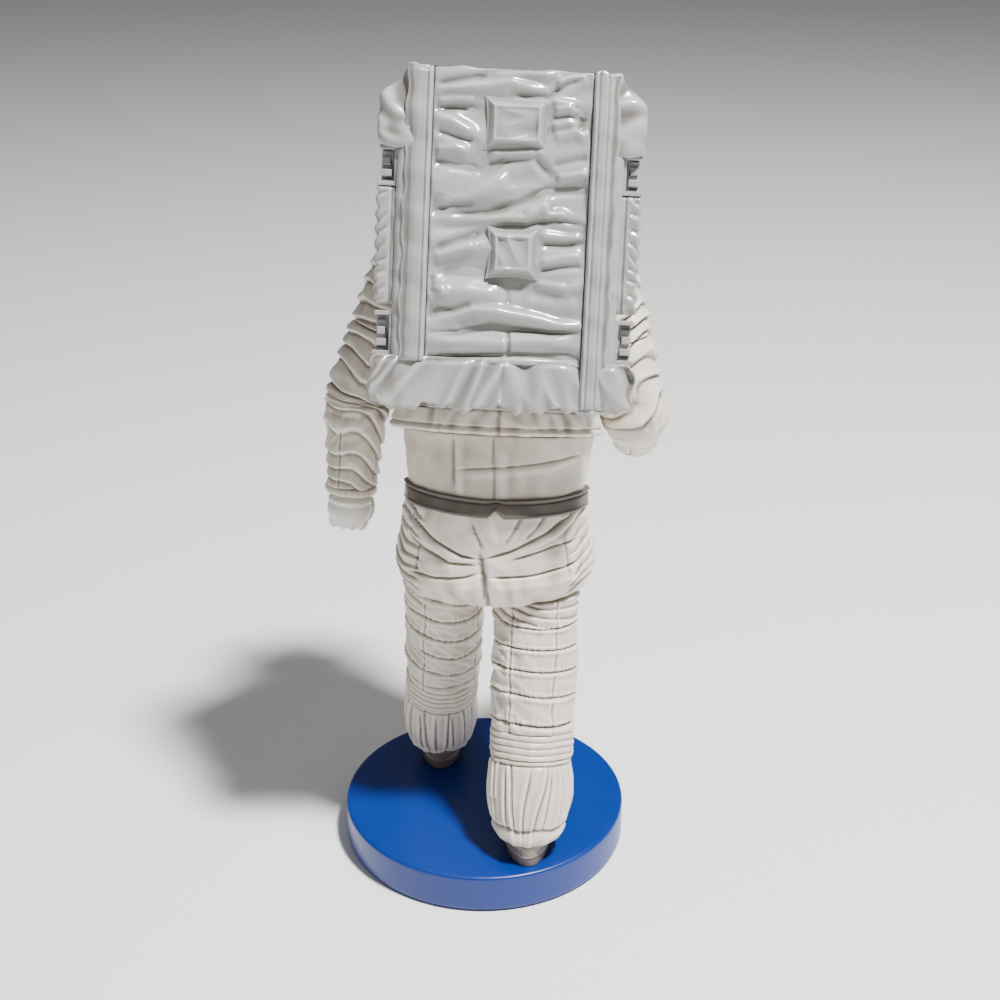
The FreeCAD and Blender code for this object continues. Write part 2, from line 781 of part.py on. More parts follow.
# ------------------------------------------------------------------------------------------------ helmet
def make_helmet():
    """A helmet shell over a dark bubble, a visor that lifts between them, two lamps and the neck peg."""
    reach = "2 * helmet_radius"

    def slab(low, high):
        return box((f"-{reach}", f"-{reach}", low), (reach, reach, high))

    def pin_bore(gap):
        return cylinder(f"pin_radius + {gap}", reach, ("-helmet_radius", "0", "0"), ALONG_X)

    inner = "helmet_radius - helmet_wall"
    room = shared(sphere(inner), slab("-helmet_rise + helmet_floor", reach))
    outer = shared(sphere("helmet_radius"), slab("-helmet_rise", reach))
    window = extruded(
        oval("window_width", "window_height", ("0", "0", "0"), Rotation(X_AXIS, 90)), reach, Vector(0, -1, 0)
    )
    peg_hole = cylinder("neck_peg_radius + fit_gap", "helmet_rise", ("0", "helmet_forward", "-helmet_rise - 1"))
    finish("helmet_shell", without(outer, room, window, pin_bore("bore_gap"), peg_hole), HELMET)

    visor_out = f"{inner} - turn_gap"
    visor_in = f"{visor_out} - visor_thickness"
    bubble_out = f"{visor_in} - turn_gap"
    glass = without(sphere(bubble_out), sphere(f"{bubble_out} - bubble_wall"))
    finish("helmet_bubble", shared(glass, slab("-helmet_rise + helmet_floor", reach)), HELMET)

    turn = turned(X_AXIS, "90 + visor_low") * Rotation(Y_AXIS, -90)
    wedge = cylinder("helmet_radius", reach, ("helmet_radius", "0", "0"), turn)
    wedge.setExpression("Angle", formula("visor_low + visor_high"))
    ears = cylinder("visor_ear", reach, ("-helmet_radius", "0", "0"), ALONG_X)
    skin = without(sphere(visor_out), sphere(visor_in))
    finish("sun_visor", without(shared(skin, joined(wedge, ears)), pin_bore("fit_gap")), HELMET)

    for side, sign in SIDES.items():
        pin = revolved(
            "visor_pin",
            [
                ("0", f"{visor_in} + 0.1"),
                ("pin_radius", f"{visor_in} + 0.1"),
                ("pin_radius", "helmet_radius + turn_gap"),
                ("pin_knob", "helmet_radius + turn_gap"),
                ("pin_knob", "helmet_radius + turn_gap + pin_knob_height"),
                ("0", "helmet_radius + turn_gap + pin_knob_height"),
            ],
        )
        out = ALONG_X if sign > 0 else ALONG_X.inverted()
        finish(f"visor_pin_{side}", pin, HELMET * Placement(Vector(), out))

        reach_out = f"{sign} * (helmet_radius + lamp_radius + 0.4)"
        tube = cylinder("lamp_radius", "lamp_length", (reach_out, "-lamp_length", "lamp_rise"), ALONG_Y)
        near, far = sorted(("0", reach_out), key=number)
        bar = box(
            (near, "-lamp_length * 0.75", "lamp_rise - lamp_bar / 2"),
            (far, "-lamp_length * 0.25", "lamp_rise + lamp_bar / 2"),
        )
        finish(f"lamp_{side}", without(joined(tube, bar), sphere("helmet_radius")), HELMET)
        lens = cylinder(
            "lamp_radius - 0.4", "lens_thickness", (reach_out, "-lamp_length - lens_thickness", "lamp_rise"), ALONG_Y
        )
        finish(f"lamp_lens_{side}", lens, HELMET)

    start = "collar_height - neck_peg_length + 4"
    end = "collar_height + neck_ring_height + turn_gap + helmet_floor"
    finish("neck_peg", mushroom("neck_peg", "neck_peg_radius", "neck_peg_head", start, end), TRUNK)


# ------------------------------------------------------------------------------------------------ arms
def make_arm(side):
    """Upper arm on its shoulder peg, forearm with a peg up into it, cuff, and a glove with a peg up into the cuff."""
    sign = SIDES[side]
    arm, forearm = ARM[side], FOREARM[side]
    out = ALONG_X if sign > 0 else ALONG_X.inverted()
    shoulder = TRUNK * Placement(point("0", "0", "shoulder_z"), out)

    peg = mushroom(
        "shoulder_peg", "shoulder_peg_radius", "shoulder_peg_head", "shoulder_peg_start", "shoulder_peg_end"
    )
    finish(f"shoulder_peg_{side}", peg, shoulder)

    form = joined(
        sphere("shoulder_ball"),
        loft(
            oval("arm_top_radius", "arm_top_radius"),
            oval("arm_cut_radius", "arm_cut_radius", ("0", "0", "arm_cut")),
        ),
    )
    reach = "2 * arm_cut"
    inside = box((f"-{reach}", f"-{reach}", f"-{reach}"), (reach, reach, "shoulder_flat + turn_gap"))
    socket = cylinder("shoulder_peg_radius + fit_gap", "shoulder_peg_end + fit_gap")
    trunk_side = moved(joined(inside, socket), arm.inverse() * shoulder)
    head = "arm_cut - arm_peg_length"
    peg_room = mushroom_room("arm_peg_radius", "arm_peg_head", head, "arm_cut + 1")
    finish(f"upper_arm_{side}", without(form, trunk_side, peg_room), arm)

    top = "arm_cut + turn_gap"
    upper = loft(
        oval("arm_cut_radius", "arm_cut_radius", ("0", "0", top)),
        oval("elbow_radius", "elbow_radius", ("0", "0", "elbow_reach")),
    )
    lower = loft(
        oval("elbow_radius", "elbow_radius"),
        oval("wrist_radius", "wrist_radius", ("0", "0", "forearm_length")),
    )
    pegged = mushroom("arm_peg", "arm_peg_radius", "arm_peg_head", head, f"{top} + 1")
    bent = moved(lower, arm.inverse() * forearm)
    wrist_start = "forearm_length + cuff_height - wrist_peg_length"
    bore = mushroom_room("wrist_peg_radius", "wrist_peg_head", wrist_start, "forearm_length + 1")
    sleeve = joined(upper, sphere("elbow_radius", ("0", "0", "elbow_reach")), bent, pegged)
    finish(f"forearm_{side}", without(sleeve, moved(bore, arm.inverse() * forearm)), arm)

    cuff = revolved(
        "cuff",
        [
            ("cuff_bore", "forearm_length"),
            ("cuff_radius", "forearm_length"),
            ("cuff_radius + 0.3", "forearm_length + cuff_height / 2"),
            ("cuff_radius", "forearm_length + cuff_height"),
            ("cuff_bore", "forearm_length + cuff_height"),
        ],
    )
    finish(f"cuff_{side}", cuff, forearm)
    finish(f"glove_{side}", make_glove(sign, wrist_start), forearm)


def make_glove(sign, wrist_start):
    """A loosely closed hand, palm to the thigh, moulded with its wrist peg."""
    top = "forearm_length + cuff_height + turn_gap"
    below = box(
        ("-palm_width * 2", "-palm_width * 2", f"{top} - 3 * palm_length"),
        ("palm_width * 2", "palm_width * 2", top),
    )
    palm = primitive(
        "Ellipsoid", ("0", "0", f"{top} + 2.6"), Radius1="palm_length", Radius2="palm_thick", Radius3="palm_width"
    )
    fingers = []
    for step in (-1.5, -0.5, 0.5, 1.5):
        place = (f"{-sign} * 1.1", f"{step} * finger_pitch", f"{top} + 7.2 - {abs(step)} * 0.5")
        turn = turned(Y_AXIS, f"{-sign} * finger_curl")
        fingers.append(
            primitive(
                "Ellipsoid", place, turn, Radius1="finger_length", Radius2="finger_radius * 1.3", Radius3="finger_radius"
            )
        )
    thumb = primitive(
        "Ellipsoid",
        (f"{-sign} * 1.6", "palm_width - 1", f"{top} + 4.6"),
        Rotation(X_AXIS, 24) * turned(Y_AXIS, f"{-sign} * 12"),
        Radius1="thumb_length",
        Radius2="thumb_radius",
        Radius3="thumb_radius * 1.1",
    )
    peg = mushroom("wrist_peg", "wrist_peg_radius", "wrist_peg_head", wrist_start, f"{top} + 1")
    hand = without(joined(palm, *fingers, thumb), below)
    return joined(hand, peg)


# ------------------------------------------------------------------------------------------------ pack
def pack_outline(inset="0"):
    """The pack seen from behind: a full-width head over a narrower core, with its top corners cut off."""
    right = [
        (f"pack_core - {inset}", f"pack_low + {inset}"),
        (f"pack_core - {inset}", f"pack_high - pack_head + {inset}"),
        (f"pack_half_width - {inset}", f"pack_high - pack_head + {inset}"),
        (f"pack_half_width - {inset}", f"pack_high - pack_corner_down - {inset} * 0.4"),
        (f"pack_half_width - pack_corner_in - {inset} * 0.4", f"pack_high - {inset}"),
    ]
    left = [(f"-({across})", up) for across, up in reversed(right)]
    return right + left


def make_pack():
    """A hollow housing and cover, dressed with a panel, two pillows, two rails, side pods, vents and a skirt."""
    housing, pad = padded("pack_housing", pack_outline(), "pack_front", "pack_split")
    room, _ = padded("pack_room", pack_outline("pack_wall"), "pack_front + pack_wall", "pack_rear - pack_wall")
    pegs = [
        cylinder(
            "pack_peg_radius",
            "pack_peg_length + 1",
            (f"{sign} * pack_peg_x", "pack_front - pack_peg_length", "pack_peg_z"),
            ALONG_Y,
        )
        for sign in SIDES.values()
    ]
    finish("pack_housing", joined(without(housing, room), *pegs), TRUNK)
    cover, pad = padded("pack_cover", pack_outline(), "pack_split", "pack_rear")
    finish("pack_cover", without(cover, room), TRUNK)

    foot = "pack_low + skirt_height"
    finish(
        "pack_panel",
        box(
            ("-panel_half_width", "pack_rear", foot),
            ("panel_half_width", "pack_rear + panel_thickness", "pack_high"),
        ),
        TRUNK,
    )
    for name in ("upper", "lower"):
        wide, tall = f"{name}_pad_width / 2", f"{name}_pad_height / 2"
        face = "pack_rear + panel_thickness"
        pillow = primitive(
            "Wedge",
            (f"-{wide} - pad_shift", face, f"{name}_pad_z - {tall}"),
            Xmin="0", Xmax=f"2 * {wide}", Zmin="0", Zmax=f"2 * {tall}", Ymin="0", Ymax="pillow_height",
            X2min="pillow_bevel", X2max=f"2 * {wide} - pillow_bevel",
            Z2min="pillow_bevel", Z2max=f"2 * {tall} - pillow_bevel",
        )
        finish(f"pack_pad_{name}", pillow, TRUNK)

    for side, sign in SIDES.items():
        inner = f"{sign} * (panel_half_width + fit_gap)"
        outer = f"{sign} * (panel_half_width + rail_width)"
        near, far = sorted((inner, outer), key=number)
        rail, pad = padded(
            "pack_rail",
            [(near, foot), (far, foot), (far, "pack_high"), (near, "pack_high")],
            "pack_rear",
            "pack_rear + rail_height",
        )
        back = number("pack_rear + rail_height")
        rounded_edges(
            rail,
            pad,
            "rail_round",
            lambda edge: edge.BoundBox.YMin > back - 1e-4 and edge.BoundBox.ZLength > edge.BoundBox.XLength,
        )
        finish(f"pack_rail_{side}", rail, TRUNK)

        near, far = sorted((f"{sign} * pack_core", f"{sign} * pack_half_width"), key=number)
        edge_x = number(f"{sign} * pack_half_width")
        pod, pad = padded(
            "side_pod",
            [(near, "pod_low"), (far, "pod_low"), (far, "pod_high"), (near, "pod_high")],
            "pack_front + pod_inset",
            "pack_rear - pod_inset",
        )
        rounded_edges(
            pod,
            pad,
            "pod_round",
            lambda edge: edge.BoundBox.XLength < 1e-4 and abs(edge.BoundBox.XMin - edge_x) < 1e-4,
        )
        finish(f"side_pod_{side}", pod, TRUNK)

        near, far = sorted((f"{sign} * pack_core", f"{sign} * (pack_core + vent_depth)"), key=number)
        block = box((near, "pack_front + 2.5", "vent_low"), (far, "pack_rear - 2.5", "vent_low + vent_height"))
        bore = cylinder(
            "vent_bore", "2 * vent_depth",
            (
                f"{sign} * (pack_core + vent_depth * 0.4)",
                "(pack_front + pack_rear) / 2",
                "vent_low + vent_height / 2",
            ),
            ALONG_X if sign > 0 else ALONG_X.inverted(),
        )
        finish(f"vent_block_{side}", without(block, bore), TRUNK)

    wing = "pack_half_width + 0.4"
    skirt, pad = padded(
        "pack_skirt",
        [
            (f"-({wing})", "pack_low"),
            (wing, "pack_low"),
            (wing, "pack_low + skirt_height * 0.55"),
            ("pack_core + 1", foot),
            ("-(pack_core + 1)", foot),
            (f"-({wing})", "pack_low + skirt_height * 0.55"),
        ],
        "pack_front + 0.6",
        "pack_rear + skirt_proud",
    )
    room = box(
        ("-(pack_core + fit_gap)", "0", "0"), ("pack_core + fit_gap", "pack_rear + fit_gap", "pack_high")
    )
    finish("pack_skirt", without(skirt, room), TRUNK)


make_base()
for side in SIDES:
    make_leg(side)
make_hips()
make_trunk()
make_helmet()
for side in SIDES:
    make_arm(side)
make_pack()
doc.removeObject(gauge.Name)
doc.recompute()

for thing in doc.Objects:
    if "Invalid" in thing.State or "Error" in thing.State:
        raise RuntimeError(f"{thing.Name} ({thing.Label}) is in state {thing.State}")
os.makedirs("parts", exist_ok=True)
for name, thing in finished:
    if thing.Shape.isNull() or not thing.Shape.isValid():
        raise RuntimeError(f"{name} has no valid shape")
    if len(thing.Shape.Solids) != 1:
        raise RuntimeError(f"{name} has {len(thing.Shape.Solids)} solids")
    thing.Shape.exportStep(f"parts/{name}.step")
    print(f"{name}: {thing.Shape.Volume / 1000:.2f} cm3")
print(f"{len(finished)} sub-parts")
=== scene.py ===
import math
import bpy
import numpy as np
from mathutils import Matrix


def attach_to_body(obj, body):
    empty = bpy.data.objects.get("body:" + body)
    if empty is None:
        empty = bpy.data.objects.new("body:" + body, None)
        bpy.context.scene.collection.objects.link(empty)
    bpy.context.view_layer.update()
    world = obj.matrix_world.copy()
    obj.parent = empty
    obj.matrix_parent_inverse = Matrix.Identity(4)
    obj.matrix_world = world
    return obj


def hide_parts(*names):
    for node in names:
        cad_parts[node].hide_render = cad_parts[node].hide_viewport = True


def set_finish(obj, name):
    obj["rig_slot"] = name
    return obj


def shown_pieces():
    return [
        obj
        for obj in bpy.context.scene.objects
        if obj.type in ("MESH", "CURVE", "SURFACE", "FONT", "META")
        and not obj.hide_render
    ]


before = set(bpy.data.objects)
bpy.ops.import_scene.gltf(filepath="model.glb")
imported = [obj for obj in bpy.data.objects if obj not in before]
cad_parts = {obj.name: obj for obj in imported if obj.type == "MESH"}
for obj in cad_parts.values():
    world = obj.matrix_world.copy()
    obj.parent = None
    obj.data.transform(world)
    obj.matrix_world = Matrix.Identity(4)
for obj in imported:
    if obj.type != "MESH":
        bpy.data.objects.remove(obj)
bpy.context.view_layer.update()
print("frame loaded")


# places: every length below is in millimetres until the last step, which writes metres
def turn(axis, degrees):
    c = math.cos(math.radians(degrees))
    s = math.sin(math.radians(degrees))
    rows = {
        "x": [[1, 0, 0], [0, c, -s], [0, s, c]],
        "y": [[c, 0, s], [0, 1, 0], [-s, 0, c]],
        "z": [[c, -s, 0], [s, c, 0], [0, 0, 1]],
    }
    place = np.eye(4)
    place[:3, :3] = rows[axis]
    return place


def shift(x, y, z):
    place = np.eye(4)
    place[:3, 3] = (x, y, z)
    return place


signs = {"left": 1, "right": -1}
world = np.eye(4)
trunk = shift(-3.6, 1, 110) @ turn("x", 17) @ turn("y", -2.5)
feet = {"left": shift(13.2, -23.9, 11.2), "right": shift(-12.0, 22.3, 11.2)}
legs = {
    "left": shift(13.4, -17.4, 21) @ turn("x", -12.5) @ turn("y", -3),
    "right": shift(-12.4, 25.6, 21) @ turn("x", 21) @ turn("y", -2),
}
armShape = {
    "left": {"splay": 19.3, "bend": 16, "turn": 78},
    "right": {"splay": 17.0, "bend": 66, "turn": 1},
}
arms = {}
elbows = {}
for side, sign in signs.items():
    shape = armShape[side]
    arms[side] = trunk @ shift(sign * 23.6, 0, 60) @ turn("x", -5.5) @ turn("y", -sign * shape["splay"]) @ turn("x", 180)

    def elbow(share, side=side, sign=sign, shape=shape):
        spin = turn("z", sign * shape["turn"])
        return arms[side] @ shift(0, 0, 42) @ spin @ turn("x", -shape["bend"] * share) @ np.linalg.inv(spin)

    elbows[side] = elbow


# relief: soft noise, crumples and strokes, all in millimetres
def waves(points, length, seed, stretch=(1, 1, 1), count=12):
    draw = np.random.default_rng(seed)
    total = np.zeros(points.shape[:-1])
    for _ in range(count):
        way = draw.normal(size=3)
        way = way / np.linalg.norm(way) * np.array(stretch)
        pace = 2 * math.pi / (length * draw.uniform(0.7, 1.5))
        total += np.sin(points @ (way * pace) + draw.uniform(0, 2 * math.pi))
    return total / math.sqrt(count / 2)


def crumple(points, length, seed, stretch=(1, 1, 1), bend=1.5):
    # sharp crests with wide hollows between them, like stiff cloth
    warp = np.stack([waves(points, length * 2.2, seed + k) for k in (1, 2, 3)], axis=-1)
    field = waves(points + warp * bend, length, seed, stretch, 8)
    return 0.75 - np.sqrt(field ** 2 + 0.015)


def smooth(x, low, high):
    t = np.clip((x - low) / (high - low), 0, 1)
    return t * t * (3 - 2 * t)


def stroke(x, y, line, left, right=None, fade=0.18):
    # a bump along a line; it falls off over left and right millimetres on its two sides
    right = left if right is None else right
    line = np.array(line, float)
    lengths = np.linalg.norm(np.diff(line, axis=0), axis=1)
    total = lengths.sum()
    best = np.full(x.shape, 1e9)
    aside = np.zeros(x.shape)
    along = np.zeros(x.shape)
    run = 0
    for (ax, ay), (bx, by), length in zip(line[:-1], line[1:], lengths):
        ux, uy = (bx - ax) / length, (by - ay) / length
        t = np.clip((x - ax) * ux + (y - ay) * uy, 0, length)
        dx, dy = x - ax - t * ux, y - ay - t * uy
        gap = dx * dx + dy * dy
        near = gap < best
        best = np.where(near, gap, best)
        aside = np.where(near, ux * dy - uy * dx, aside)
        along = np.where(near, run + t, along)
        run += length
    width = np.where(aside > 0, left, right)
    share = along / total
    taper = smooth(share, -0.02, fade) * smooth(1 - share, -0.02, fade) if fade else 1
    return np.exp(-best / width ** 2) * (0.25 + 0.75 * taper)


def strokes(x, y, entries):
    total = np.zeros(x.shape)
    for entry in entries:
        height, left, right, line = entry
        total += height * stroke(x, y, line, left, right)
    return total


def pleat(phase, drop=0.22):
    # each pleat swells slowly and ends in a sharp tuck
    t = phase - np.floor(phase)
    return np.minimum(t / (1 - drop), 1) ** 0.7 * (1 - smooth(t, 1 - drop, 1))


def gathers(x, count, seed):
    draw = np.random.default_rng(seed)
    total = np.zeros(x.shape)
    for k in range(4):
        total += np.sin(x * count * (0.6 + 0.35 * k) + draw.uniform(0, 6.28)) / (1 + 0.5 * k)
    return total / 1.8


# meshes
def gridObject(name, columns, rows):
    bpy.ops.object.select_all(action="DESELECT")
    bpy.ops.mesh.primitive_grid_add(x_subdivisions=columns - 1, y_subdivisions=rows - 1, size=1)
    thing = bpy.context.object
    thing.name = name
    thing.data.name = name
    return thing


def creases(height, wrapped):
    # how far each point lies under or over its neighbourhood; the paints use it to lay painted shade into the hollows
    # and a painted highlight onto the crests
    level = height.copy()
    for _ in range(10):
        if wrapped:
            level = (np.roll(level, 1, 1) + np.roll(level, -1, 1) + 2 * level) / 4
        else:
            level[:, 1:-1] = (level[:, 2:] + level[:, :-2] + 2 * level[:, 1:-1]) / 4
        level[1:-1] = (level[2:] + level[:-2] + 2 * level[1:-1]) / 4
    return np.clip((level - height) * 4.5, -1, 1)


def fillMesh(thing, points, depth):
    mesh = thing.data
    mesh.vertices.foreach_set("co", (points.reshape(-1, 3) * 0.001).astype(np.float32).ravel())
    # this attribute says where painted shade (hollows) and painted highlight (crests) go
    layer = mesh.attributes.new("crease", "FLOAT", "POINT")
    layer.data.foreach_set("value", depth.astype(np.float32).ravel())
    mesh.update()


def closeMesh(thing, fill=False, angle=None):
    bpy.ops.object.mode_set(mode="EDIT")
    bpy.ops.mesh.select_all(action="SELECT")
    bpy.ops.mesh.remove_doubles(threshold=2e-7)
    if fill:
        bpy.ops.mesh.select_all(action="DESELECT")
        bpy.ops.mesh.select_non_manifold()
        bpy.ops.mesh.edge_face_add()
    bpy.ops.mesh.select_all(action="SELECT")
    bpy.ops.mesh.normals_make_consistent(inside=False)
    bpy.ops.object.mode_set(mode="OBJECT")
    if angle is None:
        bpy.ops.object.shade_smooth()
    else:
        bpy.ops.object.shade_smooth_by_angle(angle=math.radians(angle))


def ring(place, height, width, depth=None, centre=(0, 0), power=2, count=256):
    # angle 0 looks along +y and grows toward +x
    depth = width if depth is None else depth
    angle = np.linspace(-math.pi, math.pi, count + 1)
    x, y = np.sin(angle), np.cos(angle)
    if power != 2:
        grow = (np.abs(x) ** power + np.abs(y) ** power) ** (-1 / power)
        x, y = x * grow, y * grow
    flat = np.stack([centre[0] + width * x, centre[1] + depth * y, x * 0 + height, x * 0 + 1])
    return (place @ flat)[:3].T


def skin(name, rings, relief, rows=140, edge=0.5, soft=True, angle=None):
    stations = np.array([station for station, _ in rings], float)
    stack = np.array([points for _, points in rings])
    first, last = stations[0], stations[-1]
    ends = edge * np.array([0, 0.08, 0.3, 0.62])
    along = np.concatenate([first + ends, np.linspace(first + edge, last - edge, rows), last - ends[::-1]])
    base = np.empty((len(along),) + stack.shape[1:])
    if soft and len(stations) > 2:
        # Catmull-Rom through the rings
        slopes = np.gradient(stack, stations, axis=0)
        place = np.clip(np.searchsorted(stations, along) - 1, 0, len(stations) - 2)
        span = (stations[place + 1] - stations[place])[:, None, None]
        t = ((along - stations[place]) / span[:, 0, 0])[:, None, None]
        h00, h10 = 2 * t ** 3 - 3 * t ** 2 + 1, t ** 3 - 2 * t ** 2 + t
        h01, h11 = -2 * t ** 3 + 3 * t ** 2, t ** 3 - t ** 2
        base = h00 * stack[place] + h10 * span * slopes[place] + h01 * stack[place + 1] + h11 * span * slopes[place + 1]
    else:
        for j in range(stack.shape[1]):
            for k in range(3):
                base[:, j, k] = np.interp(along, stations, stack[:, j, k])
    around = np.concatenate([base[:, -2:-1], base, base[:, 1:2]], axis=1)
    across = around[:, 2:] - around[:, :-2]
    up = np.gradient(base, axis=0)
    normal = np.cross(up, across)
    normal /= np.linalg.norm(normal, axis=-1, keepdims=True) + 1e-12
    centre = base[:, :-1].mean(axis=1, keepdims=True)
    middle = len(along) // 2
    if ((base[middle] - centre[middle]) * normal[middle]).sum() < 0:
        normal = -normal
    degrees = np.linspace(-180, 180, stack.shape[1])[None, :] * np.ones((len(along), 1))
    height = relief(degrees, along[:, None] * np.ones_like(degrees), base)
    seam = (height[:, :1] + height[:, -1:]) / 2
    share = smooth(np.abs(degrees), 168, 180)
    height = height * (1 - share) + seam * share
    depth = creases(height[:, :-1], True)
    depth = np.concatenate([depth, depth[:, :1]], axis=1)
    gap = np.minimum(along - first, last - along)[:, None]
    inset = edge - np.sqrt(np.maximum(edge ** 2 - np.maximum(edge - gap, 0) ** 2, 0))
    points = base + normal * (height - inset)[..., None]
    points[:, -1] = points[:, 0]
    caps = []
    for row, where in ((0, 0), (-1, 1)):
        middlePoint = points[row, :-1].mean(axis=0)
        caps.append([points[row] * (1 - pull) + middlePoint * pull for pull in (0.06, 0.5, 1.0)])
    points = np.concatenate([np.array(caps[0][::-1]), points, np.array(caps[1])])
    flat = np.zeros((3, depth.shape[1]))
    depth = np.concatenate([flat, depth, flat])
    thing = gridObject(name, points.shape[1], points.shape[0])
    fillMesh(thing, points, depth)
    closeMesh(thing, angle=angle)
    return thing


def slab(name, place, low, high, back, front, relief, edge=0.6, corner=0.8, step=0.35, wander=None, angle=None):
    # a cushion that lies on its back; low and high are its corners across and up
    wide, tall = (high[0] - low[0]) / 2, (high[1] - low[1]) / 2
    midX, midZ = (high[0] + low[0]) / 2, (high[1] + low[1]) / 2
    near = edge * np.array([0, 0, 0, 0.08, 0.3, 0.62])

    def line(half):
        inner = np.linspace(-half + edge, half - edge, max(int(2 * half / step), 6))
        return np.concatenate([-half + near, inner, half - near[::-1]])

    xs, zs = np.meshgrid(line(wide), line(tall))
    rowAt, columnAt = np.indices(xs.shape)
    shell = np.minimum(np.minimum(rowAt, xs.shape[0] - 1 - rowAt), np.minimum(columnAt, xs.shape[1] - 1 - columnAt))
    overX = np.maximum(np.abs(xs) - (wide - corner), 0)
    overZ = np.maximum(np.abs(zs) - (tall - corner), 0)
    reach = np.hypot(overX, overZ)
    pull = np.where(reach > 0, np.maximum(overX, overZ) / np.maximum(reach, 1e-9), 1)
    x = np.sign(xs) * (np.minimum(np.abs(xs), wide - corner) + overX * pull)
    z = np.sign(zs) * (np.minimum(np.abs(zs), tall - corner) + overZ * pull)
    gap = np.minimum(wide - np.abs(xs), tall - np.abs(zs))
    inset = edge - np.sqrt(np.maximum(edge ** 2 - np.maximum(edge - gap, 0) ** 2, 0))
    x, z = x + midX, z + midZ
    flat = np.stack([x, np.full(x.shape, front), z], axis=-1)
    height = relief(x, z, flat) * smooth(gap, -0.6, 1.0)
    depth = creases(height, False)
    y = front - inset + height
    y = np.where(shell == 0, back, y)
    y = np.where(shell == 1, np.minimum(y, back + (front - back) * 0.4), y)
    if wander is not None:
        dx, dz = wander(x, z)
        edgeShare = smooth(np.maximum(np.abs(x - midX) / wide, np.abs(z - midZ) / tall), 0.5, 1.0)
        x, z = x + dx * edgeShare, z + dz * edgeShare
    points = np.stack([x, y, z, np.ones(x.shape)], axis=-1) @ place.T
    thing = gridObject(name, xs.shape[1], xs.shape[0])
    # the two outer rows of each cushion get a fixed half share of painted shade along its edge walls
    fillMesh(thing, points[..., :3], np.where(shell < 2, 0.5, depth))
    closeMesh(thing, fill=True, angle=angle)
    return thing


def attach(thing, body, slotName, *nodes):
    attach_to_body(thing, body)
    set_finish(thing, slotName)
    if nodes:
        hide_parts(*nodes)
    return thing


def still(degrees, along, points):
    return np.zeros(degrees.shape)


# base
base = {"radius": 40.0, "low": 0.4, "top": 11.2, "edge": 0.9}
disc = skin(
    "baseDisc",
    [(base["low"], ring(world, base["low"], base["radius"])), (base["top"], ring(world, base["top"], base["radius"]))],
    still, rows=10, edge=base["edge"], angle=35,
)
attach(disc, "stand", "base", "base_disc")

# boots and soles
boot = {"halfLength": 12.8, "halfWidth": 6.2, "sole": 2.6, "top": 12.4, "neck": 7.0, "grooves": 13}
ankleGap = {"left": -17.4 + 23.9, "right": 25.6 - 22.3}
for side in signs:
    neck = ankleGap[side]
    foot = feet[side]

    def treadRelief(degrees, along, points):
        local = (points - foot[:3, 3])[..., 1]
        return -0.10 * smooth(np.sin(local * 2 * math.pi / 2.1), 0.3, 0.9) * smooth(1.4 - along, 0, 0.5)

    sole = skin(
        f"soleBlock_{side}",
        [(0, ring(foot, 0, boot["halfWidth"], boot["halfLength"])), (2.6, ring(foot, 2.6, boot["halfWidth"], boot["halfLength"]))],
        treadRelief, rows=16, edge=0.35,
    )
    attach(sole, "stand", "sole", f"sole_{side}")

    def bootRelief(degrees, along, points):
        rim = 0.3 * np.exp(-((along - 3.1) / 0.35) ** 2)
        bends = 0.25 * np.sin(along * 2.6 + waves(points, 9, 31)) * smooth(along, 4.5, 6.5) * smooth(11 - along, 0, 2)
        heel = -0.25 * np.exp(-((along - 6.4) / 0.3) ** 2) * smooth(60 - np.abs(degrees), 0, 8)
        return rim + bends + heel + 0.08 * waves(points, 5, 32)

    bootThing = skin(
        f"bootUpper_{side}",
        [
            (2.6, ring(foot, 2.6, 6.2, 12.8)),
            (5.6, ring(foot, 5.6, 6.2, 11.5, (0, 1.2))),
            (8.6, ring(foot, 8.6, 6.2, 8.45, (0, neck * 0.55))),
            (12.4, ring(foot, 12.4, 7.0, 7.0, (0, neck))),
        ],
        bootRelief, rows=60, edge=0.3,
    )
    attach(bootThing, "stand", "boot", f"boot_{side}")
print("base and boots done")

# gaiters, knee bands and thighs
leg = {
    "left": {"radius": 10.3, "lean": -12.5, "roll": -3.0, "seams": [58, 51.5, 45.5, 39.5, 32.5], "uprights": (31, -60)},
    "right": {"radius": 11.2, "lean": 21.0, "roll": -2.0, "seams": [56, 49, 42.3, 35.3, 27.8], "uprights": (35, -27)},
}


def levelRing(place, station, radius, stretch=1.0):
    # a ring that stays level although its leg leans
    flat = np.eye(4)
    flat[:3, 3] = (place @ np.array([0, 0, station, 1]))[:3]
    return ring(flat, 0, radius, radius * stretch)


